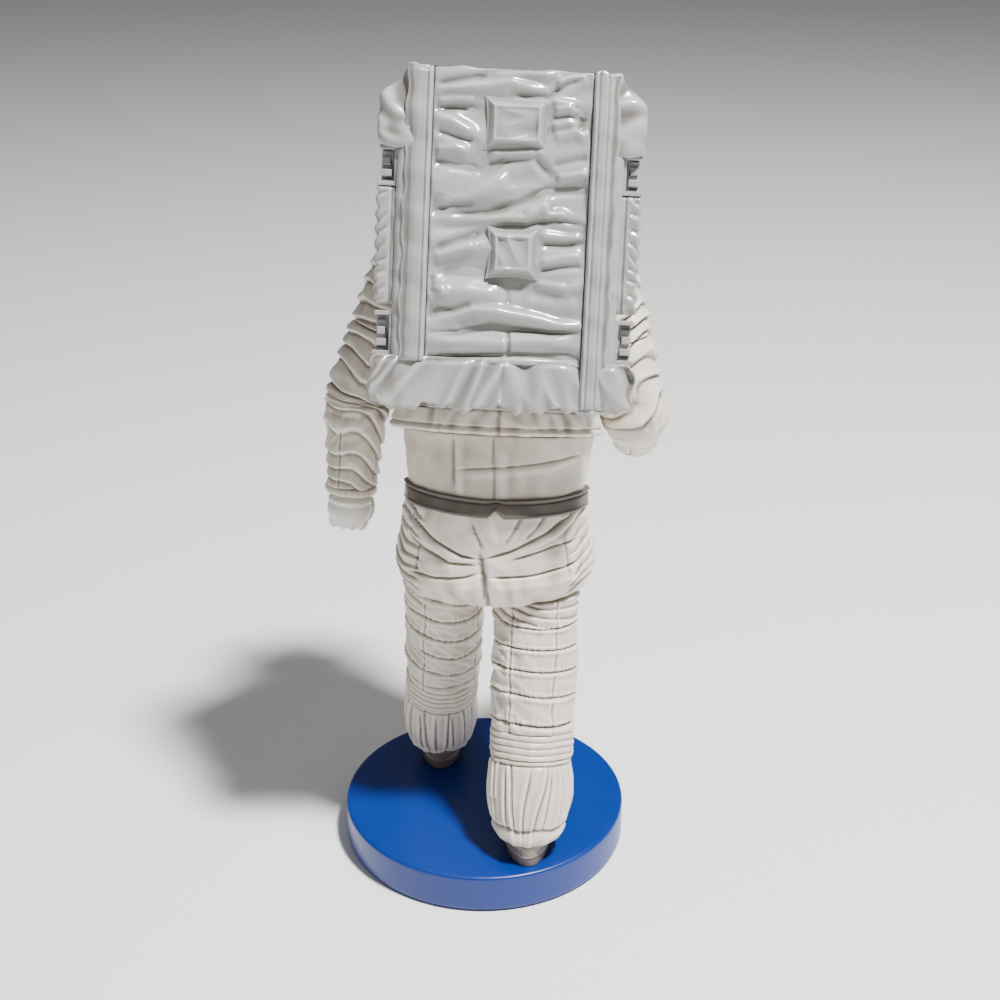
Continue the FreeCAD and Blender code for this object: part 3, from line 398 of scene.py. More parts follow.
for side, sign in signs.items():
    place = legs[side]
    facts = leg[side]
    radius = facts["radius"]
    perDegree = radius * math.pi / 180
    seed = 100 if side == "left" else 200

    def gaiterRelief(degrees, along, points):
        x = degrees * perDegree
        wandered = degrees + 2.5 * waves(points, 18, seed + 1, (1, 1, 0.5))
        folds = np.zeros(degrees.shape)
        for k in range(22):
            middle = -172 + 16.3 * k + 4 * math.sin(k * 2.3)
            middle += (6 * math.sin(k * 1.7)) * (along - 8) / 16
            off = (wandered - middle) * perDegree
            reach = smooth(along, -2.5 + 2 * math.sin(k), 1.5) * smooth(17 - along, 0, 2 + 5 * (k % 2))
            folds += (-0.62 * np.exp(-(off / 0.30) ** 2) + 0.36 * np.exp(-((off - 0.75) / 0.6) ** 2)) * reach
        slanted = 0.16 * crumple(points, 9, seed + 2, (1, 1, 0.35))
        rolled = 0.55 * np.exp(-((along + 1.9 + 0.2 * np.sin(degrees * 0.12)) / 0.95) ** 2)
        tuck = -0.60 * np.exp(-((along + 0.35 + 0.25 * np.sin(degrees * 0.12)) / 0.4) ** 2)
        top = 0.35 * np.exp(-((along - 16.9) / 0.45) ** 2) - 0.4 * np.exp(-((along - 16.0) / 0.4) ** 2)
        flap = 0.45 * smooth(x, 10.2, 10.5) * smooth(13.3 - x, 0, 0.3) * smooth(along, 6, 6.5) * smooth(17 - along, 0, 0.4)
        scallop = 0.25 * np.abs(np.sin(degrees * 0.11)) * smooth(0.5 - along, 0, 2)
        return folds + slanted + rolled + tuck + top + flap - scallop

    gaiter = skin(
        f"gaiterCloth_{side}",
        [
            (-3.6, levelRing(place, -3.6, radius - 2.2)), (3.5, ring(place, 3.5, radius)),
            (11, ring(place, 11, radius + 0.2)), (17.5, ring(place, 17.5, radius - 0.4)),
        ],
        gaiterRelief, rows=90, edge=0.8,
    )
    attach(gaiter, "stand", "suit", f"gaiter_{side}")

    def bandRelief(degrees, along, points):
        share = (along - 17.5) / 7.0 * 4 + 0.10 * waves(points, 14, seed + 5)
        rib = np.abs(np.sin(share * math.pi)) ** 0.6
        return -0.35 + 0.62 * rib + 0.07 * gathers(degrees, 0.25, seed + 6) + 0.08 * waves(points, 5, seed + 7)

    band = skin(
        f"kneeRibs_{side}", [(17.5, ring(place, 17.5, radius)), (24.5, ring(place, 24.5, radius))],
        bandRelief, rows=56, edge=0.3,
    )
    attach(band, "stand", "suit", f"knee_band_{side}")

    slant = math.cos(math.radians(facts["lean"]))
    top = (79.5 - 21) / slant / math.cos(math.radians(facts["roll"])) + 1.2

    def thighRelief(degrees, along, points):
        x = degrees * perDegree
        height = 0.22 * waves(points, 14, seed + 11)
        drift = 0.9 * np.sin(degrees * 0.02 + seed) + 0.12 * waves(points, 14, seed + 12)
        for seam in facts["seams"]:
            off = along - seam - drift
            height += -0.62 * np.exp(-(off / 0.26) ** 2)
            height += 0.24 * np.exp(-((off - 0.9) / 0.5) ** 2) + 0.42 * np.exp(-((off + 0.9) / 0.6) ** 2)
            pucker = np.sin(x * 3.3 + 2.0 * waves(points, 7, seed + 13))
            height += 0.13 * pucker * np.exp(-(np.abs(off) / 1.3) ** 1.5)
        for upright in facts["uprights"]:
            off = x - upright * perDegree - 0.08 * waves(points, 10, seed + 14)
            height += -0.42 * np.exp(-(off / 0.24) ** 2) + 0.12 * np.exp(-((np.abs(off) - 0.7) / 0.4) ** 2)
        slantWay = waves(points @ turn("y", 35)[:3, :3].T, 6.5, seed + 15, (0.45, 0.45, 1.3), 8)
        height += 0.40 * (0.6 - np.sqrt(slantWay ** 2 + 0.02)) * (0.45 + 0.55 * smooth(x, 2, 8))
        upper = smooth(along, 53.5, 56.5)
        tucks = pleat((along - 53.5 - 0.045 * degrees + 0.7 * waves(points, 16, seed + 16)) / 3.3, 0.3)
        height += upper * (0.9 * tucks - 0.35)
        height += 0.30 * np.exp(-((along - 25.4) / 0.7) ** 2) - 0.35 * np.exp(-((along - 26.8) / 0.35) ** 2)
        return height

    thigh = skin(
        f"thighCloth_{side}",
        [
            (24.5, ring(place, 24.5, radius)), (42.5, ring(place, 42.5, radius + 0.5)),
            (top, levelRing(place, top, radius + 0.2, 1 / slant)),
        ],
        thighRelief, rows=170, edge=0.4,
    )
    attach(thigh, "stand", "suit", f"thigh_{side}")
print("legs done")

# hips: the seams are given as degrees around from the back and heights above the ground
hips = {
    "valleys": [
        (-0.95, 0.45, 0.45, [(66, 105.5), (39, 99.5), (21, 96.5), (9, 96)]),
        (-0.70, 0.40, 0.40, [(63, 99), (47, 96.5), (28, 94.3), (10, 94.6)]),
        (-1.05, 0.50, 0.50, [(-65, 107), (-31, 102), (-8, 98), (8, 96)]),
        (-0.80, 0.40, 0.40, [(-10, 96.0), (-38, 98), (-60, 98.2)]),
        (-0.60, 0.35, 0.35, [(15, 106), (8, 99)]),
        (-0.70, 0.40, 0.40, [(-17, 108), (-6, 100.5)]),
        (-0.70, 0.40, 0.40, [(-35, 108), (-17, 101)]),
        (-0.90, 0.45, 0.45, [(6, 91.3), (-17, 91.3), (-60, 92)]),
        (-0.90, 0.45, 0.45, [(60, 89.0), (37, 89.5), (18, 91.0), (8, 92.5)]),
        (-1.60, 0.60, 0.60, [(9, 97), (7, 91.5), (6, 86), (4, 80)]),
        (-0.50, 0.35, 0.35, [(52, 98), (53, 89)]),
        (-0.60, 0.35, 0.35, [(-46, 100), (-47, 89)]),
    ],
    "ridges": [
        (0.55, 1.1, 0.8, [(64, 102.5), (42, 98.2), (22, 95.6), (9, 95.3)]),
        (0.60, 1.2, 0.8, [(-60, 104.5), (-30, 100.2), (-8, 96.8)]),
        (0.60, 1.5, 1.3, [(3, 88.5), (-17, 88.4), (-60, 88.0)]),
        (0.60, 1.5, 1.3, [(60, 86.2), (37, 86.6), (12, 88.3)]),
        (0.35, 1.0, 1.0, [(4, 105), (0, 100)]),
        (0.35, 1.0, 1.0, [(-12, 105), (-8, 101)]),
        (0.35, 1.0, 1.0, [(-27, 105.5), (-15, 101)]),
        (0.45, 1.6, 1.6, [(5, 94), (-16, 94.3), (-44, 95.0)]),
        (0.45, 1.3, 1.3, [(48, 92.5), (28, 92.2), (12, 93.4)]),
    ],
}


def hipRelief(degrees, along, points):
    x = degrees * 0.36
    narrow = [(h, a, b, [(p * 0.36, q) for p, q in line]) for h, a, b, line in hips["valleys"] + hips["ridges"]]
    height = strokes(x, points[..., 2], narrow)
    front = smooth(130 - np.abs(degrees), 0, 20)
    outerLeft = smooth(degrees, 48, 54) * front
    outerRight = smooth(-degrees, 44, 50) * front
    lines = points[..., 2] - 0.045 * (np.abs(degrees) - 50) + 0.6 * waves(points, 12, 41)
    height += (outerLeft + outerRight) * (0.75 * pleat(lines / 3.1, 0.3) - 0.3)
    ribs = smooth(degrees, 48, 54) * smooth(points[..., 2], 98.5, 99.5)
    height += ribs * 0.28 * np.sin(x * 5.2 + 0.5 * waves(points, 6, 42))
    height += 0.16 * waves(points, 9, 43) + 0.20 * crumple(points, 9, 44)
    return height


trousers = skin(
    "trousers",
    [
        (79.5, ring(world, 80.2, 23.4, 15.5, (-3.4, 1))), (86.5, ring(world, 86.5, 26.4, 19.6, (-3.4, 1))),
        (96, ring(world, 96, 25.4, 18.8, (-3.4, 1))), (105, ring(trunk, -4.6, 23.4, 17.4)),
    ],
    hipRelief, rows=150, edge=1.6,
)
attach(trousers, "stand", "suit", "pelvis")


def beltRelief(degrees, along, points):
    piping = 0.35 * np.exp(-((along + 0.5) / 0.35) ** 2) + 0.15 * np.exp(-((along + 4.4) / 0.35) ** 2)
    return piping + 0.12 * waves(points, 9, 51) - 0.25 * np.exp(-((along + 1.2) / 0.3) ** 2) - 0.15


def sagging(points, notch):
    # the belt hangs lower behind, and its lower edge rises to a small peak in the middle
    degrees = np.linspace(-180, 180, points.shape[0])
    drop = -2.6 * np.clip(np.cos(np.radians(degrees)), 0, 1) ** 1.5 + notch * np.clip(1 - np.abs(degrees) / 5, 0, 1)
    return points + drop[:, None] * trunk[:3, 2]


beltRings = [
    (-5, sagging(ring(trunk, -5, 24.4, 18.5, count=512), 2.0)),
    (0, sagging(ring(trunk, 0, 24.2, 18.1, count=512), 0)),
]
belt = skin("waistBelt", beltRings, beltRelief, rows=44, edge=0.35)
attach(belt, "stand", "belt", "belt")


def waistRelief(degrees, along, points):
    x = degrees * 0.40
    height = strokes(x, along, [
        (-0.45, 0.45, 0.30, [(27 * 0.4, 13), (27 * 0.4, 3)]),
        (-0.40, 0.30, 0.30, [(3 * 0.4, 13.4), (1 * 0.4, 0)]),
        (-0.32, 0.25, 0.25, [(27 * 0.4, 6), (0, 7), (-28 * 0.4, 8), (-60 * 0.4, 9.5)]),
        (0.45, 1.0, 1.0, [(24 * 0.4, 12), (23 * 0.4, 1)]),
        (0.35, 1.0, 1.0, [(-3 * 0.4, 12), (-4 * 0.4, 1)]),
        (0.35, 0.9, 0.9, [(24 * 0.4, 5), (0, 5.9), (-28 * 0.4, 6.9), (-60 * 0.4, 8.4)]),
    ])
    height += 0.25 * gathers(degrees + 2 * waves(points, 14, 62), 0.07, 61) * smooth(along, 6, 13)
    height += 0.12 * waves(points, 12, 63) + 0.12 * crumple(points, 12, 64)
    return height


waist = skin(
    "waistSleeve", [(0, sagging(ring(trunk, -0.6, 23.3, 17.3), 0)), (13.4, ring(trunk, 13.4, 25.2, 18.6))],
    waistRelief, rows=80, edge=0.4,
)
attach(waist, "stand", "suit", "waist_sleeve")
print("hips and waist done")


# trunk
def keepInside(thing, limit):
    # the flank stays clear of the arms
    mesh = thing.data
    places = np.empty(len(mesh.vertices) * 3, np.float32)
    mesh.vertices.foreach_get("co", places)
    places = places.reshape(-1, 3).astype(float) * 1000
    for side, sign in signs.items():
        back = np.linalg.inv(arms[side])
        local = np.c_[places, np.ones(len(places))] @ back.T
        trunkLocal = np.c_[places, np.ones(len(places))] @ np.linalg.inv(trunk).T
        over = -sign * local[:, 0] - limit
        push = np.where((over < 0) & (local[:, 2] > -3) & (trunkLocal[:, 0] * sign > 18), over, 0)
        places += (arms[side][:3, 0] * sign)[None, :] * push[:, None]
    mesh.vertices.foreach_set("co", (places * 0.001).astype(np.float32).ravel())
    mesh.update()


def hemRelief(degrees, along, points):
    height = 0.5 * gathers(degrees, 0.16, 71) * smooth(np.sin((degrees - 10) * 0.03) * 0.5 + 0.5, 0.1, 0.8)
    height += 0.30 * crumple(points, 7, 72, (1, 1, 0.4)) + 0.15 * waves(points, 8, 73)
    height += 0.35 * np.exp(-((along - 14.6) / 0.6) ** 2) - 0.45 * np.exp(-((along - 15.7) / 0.35) ** 2)
    height -= 0.5 * np.exp(-((degrees - 0.5) / 0.9) ** 2)
    return height


hem = skin(
    "hemBand",
    [(13.75, ring(trunk, 13.75, 28.2, 21.2)), (17, ring(trunk, 17, 28.4, 21.4)), (20.15, ring(trunk, 20.15, 28.2, 21.2))],
    hemRelief, rows=56, edge=0.7,
)
keepInside(hem, 10.0)
attach(hem, "trunk", "suit", "hem_band")


def torsoRelief(degrees, along, points):
    height = 0.25 * waves(points, 15, 81) + 0.35 * crumple(points, 15, 82, (1, 1, 0.6))
    flank = smooth(np.abs(degrees), 55, 70) * smooth(125 - np.abs(degrees), 0, 15)
    height += flank * 0.7 * (pleat((along + 0.08 * np.abs(degrees) + waves(points, 15, 83)) / 5.2, 0.28) - 0.5)
    height += -0.5 * np.exp(-((along - 21.0) / 0.4) ** 2)
    return height - 0.2


torso = skin(
    "torso",
    [
        (20.15, ring(trunk, 20.15, 27.8, 21.2)), (36, ring(trunk, 36, 22.9, 20.4)), (50, ring(trunk, 50, 21.2, 19.4)),
        (60, ring(trunk, 60, 19.2, 17.6)), (67, ring(trunk, 67, 14.8, 13.4)),
    ],
    torsoRelief, rows=150, edge=0.6,
)
keepInside(torso, 10.0)
attach(torso, "trunk", "suit", "torso_front", "torso_back", "torso_flare")


def yokeRelief(degrees, along, points):
    return 0.15 * waves(points, 6, 85)


yoke = skin(
    "shoulderYoke",
    [(-21.2, ring(trunk @ shift(0, 0, 60) @ turn("y", 90), -21.2, 8.8)), (21.2, ring(trunk @ shift(0, 0, 60) @ turn("y", 90), 21.2, 8.8))],
    yokeRelief, rows=60, edge=0.5,
)
attach(yoke, "trunk", "suit")


def collarRelief(degrees, along, points):
    return 0.5 * np.sin((along - 67) / 3 * math.pi)


collar = skin(
    "neckRing", [(67, ring(trunk, 67, 13.4)), (70, ring(trunk, 70, 13.4))], collarRelief, rows=24, edge=0.5,
)
attach(collar, "trunk", "helmet", "neck_ring")
print("trunk done")

# arms: overlapping slanted pleats down to a gathered cuff
sleeves = {
    "left": {"pitch": 4.2, "slope": 0.055, "lead": 40, "seed": 301},
    "right": {"pitch": 4.6, "slope": -0.05, "lead": -30, "seed": 331},
}
for side, sign in signs.items():
    facts = sleeves[side]
    seed = facts["seed"]
    away = arms[side]

    def armRelief(degrees, along, points):
        lean = facts["slope"] * 57.3 * np.sin(np.radians(degrees - facts["lead"]))
        phase = (along + lean * 1.1 + 1.1 * waves(points, 16, seed)) / facts["pitch"]
        height = 1.35 * pleat(phase, 0.24) - 0.75
        height += 0.14 * waves(points, 7, seed + 1) + 0.16 * crumple(points, 8, seed + 2)
        return height

    topRows = [(-s, math.sqrt(9.5 ** 2 - s ** 2)) for s in (9.3, 8.6, 7.2, 5.2, 2.8)]
    upperRings = [(s, ring(away, s, r)) for s, r in topRows]
    upperRings += [(0.2, ring(away, 0.2, 9.45)), (8, ring(away, 8, 9.0)), (15, ring(away, 15, 9.0)), (23, ring(away, 23, 9.0))]
    upper = skin(f"sleeveUpper_{side}", upperRings, armRelief, rows=110, edge=0.5)
    mesh = upper.data
    places = np.empty(len(mesh.vertices) * 3, np.float32)
    mesh.vertices.foreach_get("co", places)
    places = places.reshape(-1, 3).astype(float) * 1000
    local = np.c_[places, np.ones(len(places))] @ np.linalg.inv(trunk).T
    short = np.maximum(21.55 - sign * local[:, 0], 0)
    places += (trunk[:3, 0] * sign)[None, :] * short[:, None]
    mesh.vertices.foreach_set("co", (places * 0.001).astype(np.float32).ravel())
    attach(upper, f"upper_arm_{side}", "suit", f"upper_arm_{side}")

    lower = [(23.35, ring(away, 23.35, 9.0)), (29, ring(away, 29, 8.8)), (35, ring(away, 35, 8.65))]
    bend = math.radians(armShape[side]["bend"])
    for step in range(5):
        share = (step + 0.5) / 5
        lower.append((38 + 8 * share, ring(elbows[side](share), (share - 0.5) * 3.0, 8.5)))
    lower += [(50.5, ring(elbows[side](1), 8, 8.0)), (58, ring(elbows[side](1), 15.5, 7.3)), (66, ring(elbows[side](1), 24, 6.6))]

    def forearmRelief(degrees, along, points):
        height = armRelief(degrees, along, points)
        calm = smooth(along, 47, 53)
        inner = smooth(np.cos(np.radians(degrees)), -0.2, 0.8) if side == "right" else 0.5
        tight = 0.9 * np.cos(along * 1.9 + 0.8 * waves(points, 12, seed + 7)) * (1 - smooth(np.abs(along - 42), 4, 9)) * inner * 0.5
        panel = -0.45 * np.exp(-((np.mod(degrees - 20, 90) - 45) / 2.2) ** 2) * calm
        folds = 0.35 * gathers(degrees, 0.09, seed + 5) * smooth(along, 58, 65)
        return height * (1 - 0.35 * calm) + tight + panel + folds

    forearm = skin(f"sleeveLower_{side}", lower, forearmRelief, rows=150, edge=0.5)
    attach(forearm, f"forearm_{side}", "suit", f"forearm_{side}")

    def cuffRelief(degrees, along, points):
        return 0.25 * np.sin((along - 24) / 2.2 * math.pi) + 0.18 * gathers(degrees, 0.3, seed + 6)

    cuff = skin(
        f"cuffRoll_{side}", [(24.0, ring(elbows[side](1), 24.05, 6.7)), (26.2, ring(elbows[side](1), 26.2, 6.7))],
        cuffRelief, rows=22, edge=0.45,
    )
    attach(cuff, f"forearm_{side}", "suit", f"cuff_{side}")
print("arms done")

# pack: strokes are height, width on each side, then a line of points across and up, seen from behind
panel = {
    "half": 18.6, "low": 32.0, "top": 100.8, "back": 33.2, "front": 35.0,
    "ridges": [
        (0.8, 1.2, 0.8, [(5.5, 99.5), (-3.5, 100), (-9.5, 99.5)]),
        (0.9, 1.3, 0.9, [(16.5, 95), (7.5, 96.5), (0.5, 97.5), (-7.5, 96)]),
        (0.9, 1.2, 0.9, [(-9.5, 97.5), (-14, 99), (-17.5, 99.5)]),
        (0.8, 1.1, 0.8, [(18, 92.5), (13.5, 93), (8.5, 93)]),
        (0.9, 1.2, 0.9, [(18, 89.5), (14, 88.5), (8.5, 85.5)]),
        (0.8, 1.2, 0.9, [(18, 81.5), (13, 82), (9.5, 81)]),
        (0.7, 1.0, 0.7, [(-9, 93.5), (-15, 93)]),
        (0.8, 0.8, 0.6, [(-9.5, 91.5), (-13, 92), (-15.5, 91)]),
        (0.8, 0.9, 0.7, [(-9, 88), (-13, 89), (-15.5, 88.5)]),
        (0.8, 1.0, 0.8, [(-9.5, 85.5), (-15, 87), (-18, 85.5)]),
        (0.7, 1.0, 0.8, [(5.5, 81), (0, 81), (-6.5, 81.5)]),
        (0.9, 1.1, 0.8, [(-10.5, 76), (-15.5, 77), (-18.5, 77.5)]),
        (1.2, 2.0, 1.5, [(17.5, 68.5), (9.5, 70.5), (3.5, 74.5), (-0.5, 76.5)]),
        (1.0, 1.0, 0.9, [(17.5, 65.5), (6.5, 66), (-4, 66.5), (-8.5, 70.5)]),
        (0.8, 1.0, 0.8, [(-8, 71), (-9.5, 67.5), (-14, 68)]),
        (0.9, 1.1, 0.9, [(-7, 63), (-13.5, 62.5), (-18, 62.5)]),
        (0.9, 1.2, 0.9, [(17.5, 56.5), (13, 58), (7, 60.5)]),
        (0.8, 1.1, 0.9, [(-7.5, 56.5), (-13, 58), (-18.5, 58.5)]),
        (0.8, 1.1, 0.9, [(-6.5, 51.5), (-14.5, 50.5), (-18.5, 51.5)]),
        (0.7, 1.0, 1.0, [(15.5, 50.5), (14.5, 47.5)]),
        (1.3, 1.5, 1.1, [(18.5, 41), (12.5, 42.5), (7.5, 44.5), (1.5, 44.5), (-6, 43.5), (-12.5, 42), (-19.5, 41.5)]),
        (1.1, 1.2, 1.6, [(18.5, 37), (8, 37.6), (0, 37.4), (-9, 37.8), (-18.5, 37.2)]),
        (0.6, 1.4, 1.4, [(17, 48.5), (9, 49.5), (1, 48.8)]),
        (0.6, 1.3, 1.3, [(-4, 47.5), (-12, 46.5), (-18, 47)]),
    ],
    "valleys": [
        (-0.9, 0.6, 0.6, [(18.5, 96.5), (11.5, 98), (5.5, 99)]),
        (-1.0, 0.6, 0.6, [(0.5, 94.5), (-8, 94.5), (-12, 97.5), (-17, 99.5)]),
        (-0.8, 0.6, 0.6, [(17.5, 91), (12.5, 91.5), (8.5, 91.5)]),
        (-1.0, 0.7, 0.7, [(18, 86), (13, 84.5), (8.5, 83.5)]),
        (-0.9, 0.7, 0.7, [(18, 79), (13, 78), (7.5, 77.5)]),
        (-0.8, 0.6, 0.6, [(-16.5, 90.5), (-16, 87)]),
        (-1.1, 0.8, 0.8, [(6.5, 76.5), (2, 79.5), (-5.5, 80.5), (-8.5, 77.5), (-10.5, 76)]),
        (-0.9, 0.7, 0.7, [(-9.5, 79), (-15.5, 80.5), (-18.5, 81)]),
        (-1.4, 0.8, 0.8, [(5, 67.5), (-2.5, 70), (-8.5, 73), (-18.5, 74)]),
        (-0.8, 0.5, 0.5, [(17.5, 67.5), (13, 69), (7.5, 69.5)]),
        (-0.9, 0.5, 0.5, [(4, 65), (-4, 65), (-11, 66.5), (-18.5, 65.5)]),
        (-0.9, 0.6, 0.6, [(-7.5, 60.5), (-13.5, 60.5), (-18.5, 61.5)]),
        (-1.0, 0.7, 0.7, [(17.5, 58.5), (12, 61), (6, 62.5)]),
        (-0.9, 0.6, 0.6, [(-7.5, 54.5), (-13, 55.5), (-18.5, 56)]),
        (-0.9, 0.7, 0.7, [(15.5, 53), (11, 53.5), (6.5, 53.5)]),
        (-0.7, 0.5, 0.5, [(17.5, 52.5), (17.5, 48)]),
        (-0.8, 0.6, 0.6, [(17, 44.5), (12, 44.5), (7.5, 46)]),
        (-1.3, 0.6, 0.6, [(17, 39), (11, 39), (3, 41), (-2, 40.5), (-10.5, 40), (-19.5, 40.5)]),
        (-1.5, 0.5, 0.5, [(18.5, 33.2), (13.5, 33.5), (0, 34.3), (-2, 34.5), (-15.5, 34.5), (-18.5, 34)]),
        (-1.0, 0.35, 0.35, [(-1, 40), (-1.5, 34)]),
        (-0.5, 0.6, 0.6, [(0, 51), (-1, 46)]),
    ],
}


def shellRelief(degrees, along, points):
    local = (points - trunk[:3, 3]) @ trunk[:3, :3]
    corner = smooth(along, 80, 86)
    rear = smooth(local[..., 1], 31, 33.5)
    raised = 1.3 * smooth(np.abs(local[..., 0]), 18.8, 19.8) * rear
    folds = (0.10 + 0.40 * corner) * (0.25 + 0.75 * rear) * crumple(points, 9, 401)
    return raised + folds + 0.05 * waves(points, 6, 402) - 0.1


def shellRing(height, half):
    return ring(trunk, height, half, 6.2, (0, 27.8), power=9, count=320)


packShell = skin(
    "packShell",
    [
        (21, shellRing(21, 26.4)), (82.2, shellRing(82.2, 26.4)), (83.2, shellRing(83.2, 31.2)),
        (93, shellRing(93, 31.2)), (100.6, shellRing(100.6, 24.4)),
    ],
    shellRelief, rows=150, edge=0.5, soft=False,
)
attach(packShell, "pack", "pack", "pack_housing", "pack_cover")


def panelRelief(x, z, points):
    ridges = [(1.25 * h, 1.45 * a, 1.25 * b, line) for h, a, b, line in panel["ridges"]]
    valleys = [(0.9 * h, 1.5 * a, 1.5 * b, line) for h, a, b, line in panel["valleys"]]
    height = strokes(x, z, ridges + valleys)
    height += 0.38 * waves(points, 13, 411, (0.6, 1, 1.5)) + 0.22 * crumple(points, 12, 413, (0.6, 1, 1.3))
    return height - 0.2


def topWander(x, z):
    lift = 0.5 * np.exp(-((x - 12) / 2.5) ** 2) + 0.4 * np.exp(-((x + 9) / 3) ** 2) - 0.4
    return np.zeros(x.shape), lift * smooth(z, 98, 101)


packPanel = slab(
    "packPanel", trunk, (-panel["half"], panel["low"]), (panel["half"], panel["top"]), panel["back"], panel["front"],
    panelRelief, edge=0.5, corner=0.4, step=0.26, wander=topWander,
)
attach(packPanel, "pack", "pack", "pack_panel")

pillows = {
    "Upper": {"low": (-8.7, 81.7), "high": (6.7, 94.3), "seed": 431, "node": "pack_pad_upper"},
    "Lower": {"low": (-7.6, 52.0), "high": (5.0, 64.4), "seed": 441, "node": "pack_pad_lower"},
}
for name, facts in pillows.items():
    low, high = facts["low"], facts["high"]

    def pillowRelief(x, z, points):
        gap = np.minimum(np.minimum(x - low[0], high[0] - x), np.minimum(z - low[1], high[1] - z))
        plateau = 1.7 * smooth(gap, 0.2, 2.4)
        folds = 0.40 * crumple(points, 6.5, facts["seed"], bend=1.0) * smooth(gap, 1.6, 3.2)
        rim = 0.30 * np.exp(-((gap - 2.4) / 0.45) ** 2)
        return plateau + folds + rim - 0.2

    def pillowWander(x, z):
        # the sides curve in between the corners
        midX, midZ = (low[0] + high[0]) / 2, (low[1] + high[1]) / 2
        u, v = (x - midX) / (high[0] - low[0]) * 2, (z - midZ) / (high[1] - low[1]) * 2
        return -0.7 * u * (1 - v ** 2), -0.7 * v * (1 - u ** 2)

    pillow = slab(
        f"packPad{name}", trunk, low, high, 34.4, 35.3, pillowRelief, edge=0.35, corner=0.3, step=0.2,
        wander=pillowWander,
    )
    attach(pillow, "pack", "pack", facts["node"])

rail = {"inner": 18.7, "outer": 24.6, "low": 32.0, "top": 100.6, "front": 36.4}
for side, sign in signs.items():
    low = (min(sign * rail["inner"], sign * rail["outer"]), rail["low"] if side == "left" else 22.0)
    high = (max(sign * rail["inner"], sign * rail["outer"]), rail["top"])

    def railRelief(x, z, points):
        across = np.abs(x)
        height = -0.35 * np.exp(-((across - 20.0) / 0.22) ** 2) + 0.10 * waves(points, 6, 451)
        height += 0.22 * np.exp(-((across - 19.4) / 0.4) ** 2) - 0.18 * smooth(across, 23.2, 23.6)
        height += 0.16 * waves(points, 13, 452, (0.5, 1, 1.2))
        if side == "right":
            height += -0.30 * np.exp(-((across - 22.2) / 0.25) ** 2)
        height -= 0.5 * smooth(z, 99, 101) + 0.9 * smooth(across, 21.6, 24.4)
        return height

    def railWander(x, z, sign=sign):
        drift = sign * (0.5 + 0.3 * np.sin(z * 0.31) + 0.25 * np.sin(z * 0.83 + 1)) * 0.8
        return drift * smooth(np.abs(x), 22, 24.5), 0.6 * np.sin(x * 1.1 + sign) * smooth(z, 98, 101)

    railThing = slab(
        f"packRail_{side}", trunk, low, high, 33.4, rail["front"], railRelief, edge=1.1, corner=0.6, step=0.28,
        wander=railWander,
    )
    attach(railThing, "pack", "pack", f"pack_rail_{side}")

    inner, outer = sorted((sign * 26.2, sign * 31.4))

    def podRelief(x, z, points):
        across = np.abs(x)
        height = 0.55 * (pleat((z + 0.5 * (across - 26) + 0.8 * waves(points, 9, 461)) / 3.4, 0.35) - 0.5) * smooth(across, 28.2, 29.5)
        height += -0.55 * np.exp(-((across - 27.7) / 0.3) ** 2) + 0.14 * waves(points, 5, 462)
        return height

    def podWander(x, z, sign=sign):
        teeth = np.abs(np.sin(z * 0.92 + 0.4)) - 0.6
        return sign * 0.7 * teeth * smooth(np.abs(x), 29.5, 31), 0 * x

    pod = slab(
        f"sidePod_{side}", trunk, (inner, 45), (outer, 72.8), 23.0, 32.8, podRelief, edge=1.2, corner=0.8, step=0.26,
        wander=podWander,
    )
    attach(pod, "pack", "pack", f"side_pod_{side}")

    # bracket frames over small stepped blocks, above and below the pod
    for level, (lowZ, highZ) in {"Upper": (72.9, 82.4), "Lower": (33.0, 43.6)}.items():
        parts = []
        innerX = 26.3
        block = slab(
            f"ventCore{level}_{side}", trunk, tuple(sorted((sign * 26.2, sign * 30.6)))[:1] + (lowZ,),
            tuple(sorted((sign * 26.2, sign * 30.6)))[1:] + (highZ,), 24.0, 30.2,
            lambda x, z, points: 0.25 * np.sign(np.sin(z * 1.9)) * smooth(np.abs(x), 28, 28.4) + 0.05 * waves(points, 4, 471),
            edge=0.25, corner=0.2, step=0.3,
        )
        attach(block, "pack", "vent", *([f"vent_block_{side}"] if level == "Upper" else []))
        bars = [
            ((26.3, highZ - 1.1), (31.0, highZ), 32.6), ((26.3, lowZ), (27.4, highZ), 32.8),
            ((26.3, lowZ), (31.4, lowZ + 1.1), 32.6), ((28.0, lowZ + 2.2), (30.6, lowZ + 3.9), 31.6),
            ((28.4, lowZ + 4.9), (30.4, lowZ + 6.8), 31.2),
        ]
        for index, (first, second, front) in enumerate(bars):
            x0, x1 = sorted((sign * first[0], sign * second[0]))
            bar = slab(
                f"ventBar{level}{index}_{side}", trunk, (x0, first[1]), (x1, second[1]), 25.0, front,
                lambda x, z, points: 0.05 * waves(points, 3, 472), edge=0.25, corner=0.2, step=0.3,
            )
            attach(bar, "pack", "pack")

# skirt: a ragged cloth hem under the pack
skirt = {"half": 31.6, "low": 21.0, "top": 33.2, "back": 31.0, "front": 35.6}


def skirtRelief(x, z, points):
    slantedX = x + 0.45 * (z - 27) * np.sign(x)
    tucks = crumple(np.stack([slantedX, 0 * x, 0.35 * z], axis=-1), 8, 481, bend=1.6)
    height = 1.25 * tucks * smooth(34.5 - z, 0, 3) + 0.35 * waves(points, 11, 482, (1, 1, 0.6))
    height += 0.45 * gathers(x * 1.0, 0.62, 483) * smooth(30 - z, 0, 8)
    height -= 0.9 * smooth(z, 31.4, 33.4)
    return height - 0.2


